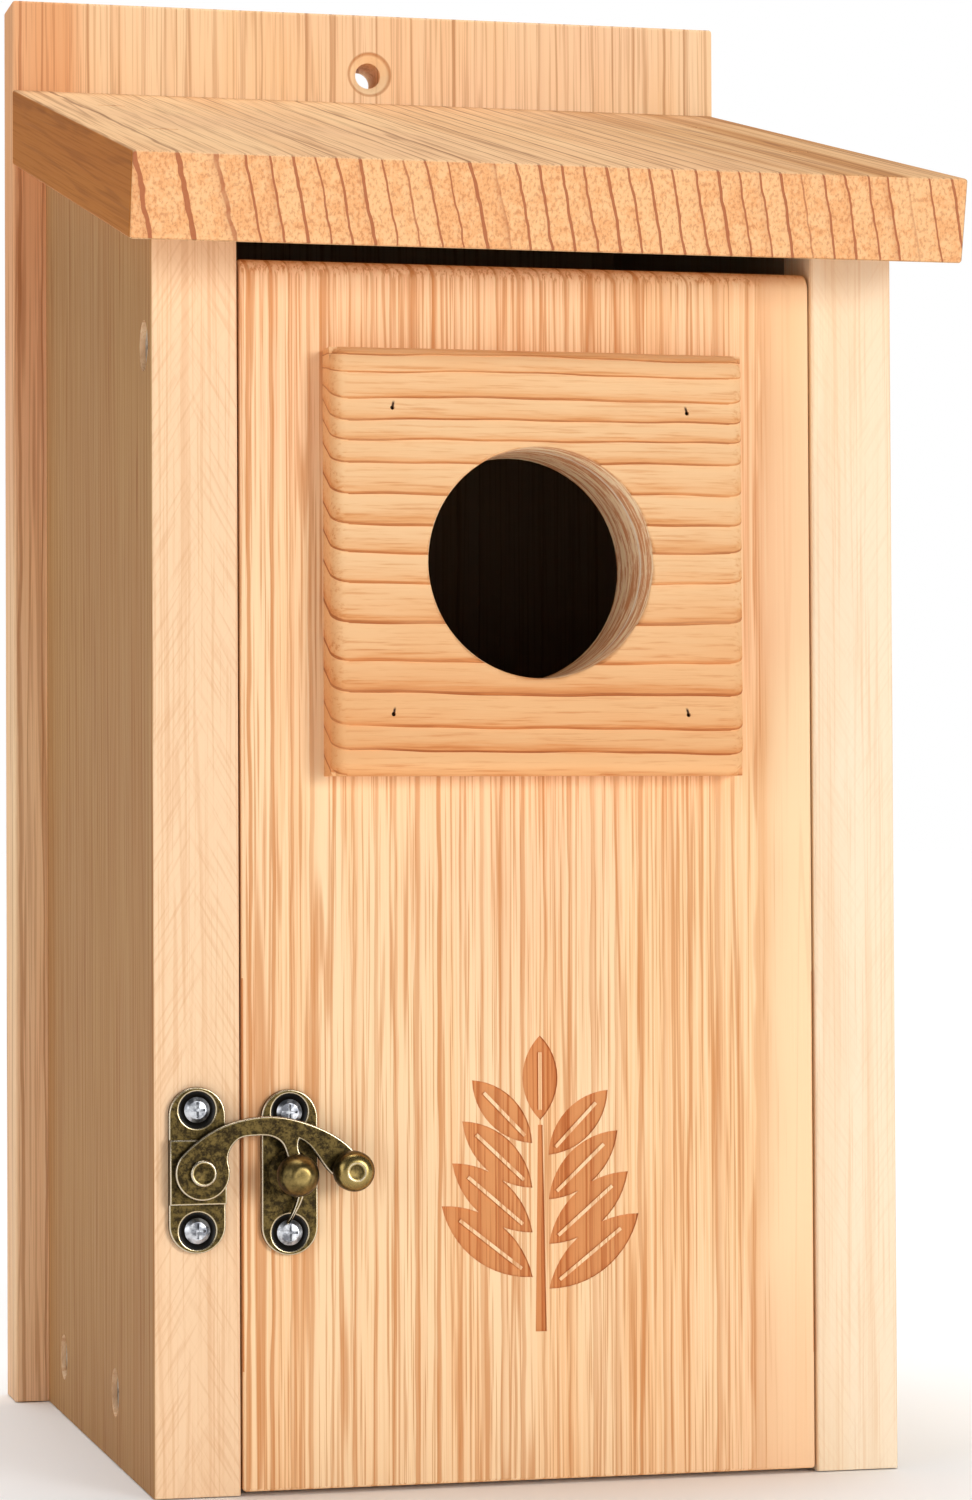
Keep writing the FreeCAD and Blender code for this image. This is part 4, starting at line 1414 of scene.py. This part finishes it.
@dataclass
class Fixings:
    """Screws, brads and staples: their CAD shapes with plated steel finishes."""

    steels: tuple[tuple[PlatedSteel, tuple[str, ...]], ...] = (
        (PlatedSteel("bright_steel", paint(208, 210, 214), paint(112, 114, 120), 0.2),
         ("latch_base_screw", "keeper_screw")),
        (PlatedSteel("zinc_steel", paint(222, 220, 214), paint(160, 156, 148)),
         ("floor_screw", "back_screw", "pivot_screw", "roof_staple")),
        (PlatedSteel("dull_steel", paint(74, 58, 44), paint(40, 30, 22), 0.6), ("guard_brad",)))

    def build(self) -> None:
        """Dress every fixing."""
        for steel, kinds in self.steels:
            material = steel.material()
            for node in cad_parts:
                if node.startswith(kinds):
                    dress(node, material)


# ---- Studio -------------------------------------------------------------------------------------

class Lamp(Enum):
    """The studio's lamps."""

    KEY = "key"
    TOP = "top"
    FILL = "fill"


@dataclass
class Studio:
    """A pale floor, soft light and the camera."""

    eye: Point = (-0.17311, -0.73198, 0.10658)
    yaw: float = -13.788
    pitch: float = 1.21
    roll: float = 0.277
    lens: float = 100.69
    sky: float = 0.14

    def floor(self) -> None:
        """A pale floor under everything."""
        g = Graph("studio_floor")
        cloud = g.noise(g.position, 3.0)
        g.surface(g.mix(cloud, (0.97, 0.97, 0.97), (0.99, 0.99, 0.99)), 0.8)
        bm = bmesh.new()
        bmesh.ops.create_grid(bm, x_segments=2, y_segments=2, size=30.0)
        bmesh.ops.translate(bm, verts=bm.verts[:], vec=(0, 0, -0.2 * MM))
        to_piece(bm, "floor_stage", g.material)

    def world(self) -> None:
        """A sky that looks white and adds a little even light."""
        world = bpy.data.worlds.new("studio")
        bpy.context.scene.world = world
        world.use_nodes = True
        nodes, links = world.node_tree.nodes, world.node_tree.links
        nodes.clear()
        output = nodes.new("ShaderNodeOutputWorld")
        path = nodes.new("ShaderNodeLightPath")
        choose = nodes.new("ShaderNodeMixShader")
        for slot, strength in ((1, self.sky), (2, 1.0)):
            light = nodes.new("ShaderNodeBackground")
            light.inputs["Strength"].default_value = strength
            light.inputs["Color"].default_value = (1.0, 1.0, 1.0, 1.0)
            links.new(light.outputs[0], choose.inputs[slot])
        links.new(path.outputs["Is Camera Ray"], choose.inputs[0])
        links.new(choose.outputs[0], output.inputs[0])

    def lamp(self, kind: Lamp, strength: float, azimuth: float, height: float, spread: float) -> None:
        """A distant soft lamp.

        Args:
            kind: Which lamp it is.
            strength: Its strength.
            azimuth: Degrees to the right of straight in front of the box.
            height: Degrees above the floor.
            spread: How wide it looks, in degrees; wider is softer.
        """
        light = bpy.data.lights.new(kind.value, "SUN")
        light.energy = strength
        light.angle = math.radians(spread)
        turn, lift = math.radians(azimuth), math.radians(height)
        level = math.cos(lift)
        source = Vector((math.sin(turn) * level, -math.cos(turn) * level, math.sin(lift)))
        lamp = bpy.data.objects.new(kind.value, light)
        bpy.context.scene.collection.objects.link(lamp)
        lamp.rotation_euler = (-source).to_track_quat("-Z", "Y").to_euler()

    def camera(self) -> None:
        """The camera, a little to the left of the box and level with its middle."""
        data = bpy.data.cameras.new("camera")
        data.lens = self.lens
        data.sensor_width = 36.0
        camera = bpy.data.objects.new("camera", data)
        bpy.context.scene.collection.objects.link(camera)
        place = Matrix.Translation(self.eye)
        for angle, axis in ((self.yaw, "Z"), (self.pitch, "X"), (self.roll, "Y"), (90.0, "X")):
            place = place @ Matrix.Rotation(math.radians(angle), 4, axis)
        camera.matrix_world = place
        bpy.context.scene.camera = camera

    def build(self) -> None:
        """Build the studio."""
        self.floor()
        self.world()
        self.lamp(Lamp.KEY, 1.57, 27.0, 9.0, 22.0)
        self.lamp(Lamp.TOP, 2.62, 180.0, 84.0, 36.0)
        self.lamp(Lamp.FILL, 0.78, -62.0, 12.0, 40.0)
        self.camera()
        bpy.context.scene.view_settings.view_transform = "Standard"


def main() -> None:
    """Build everything in order."""
    logging.basicConfig(level=logging.INFO, format="%(name)s: %(message)s")
    Studio().build()
    Boards().build()
    GuardPlate().build()
    Latch().build()
    Fixings().build()


if __name__ == "__main__":
    main()
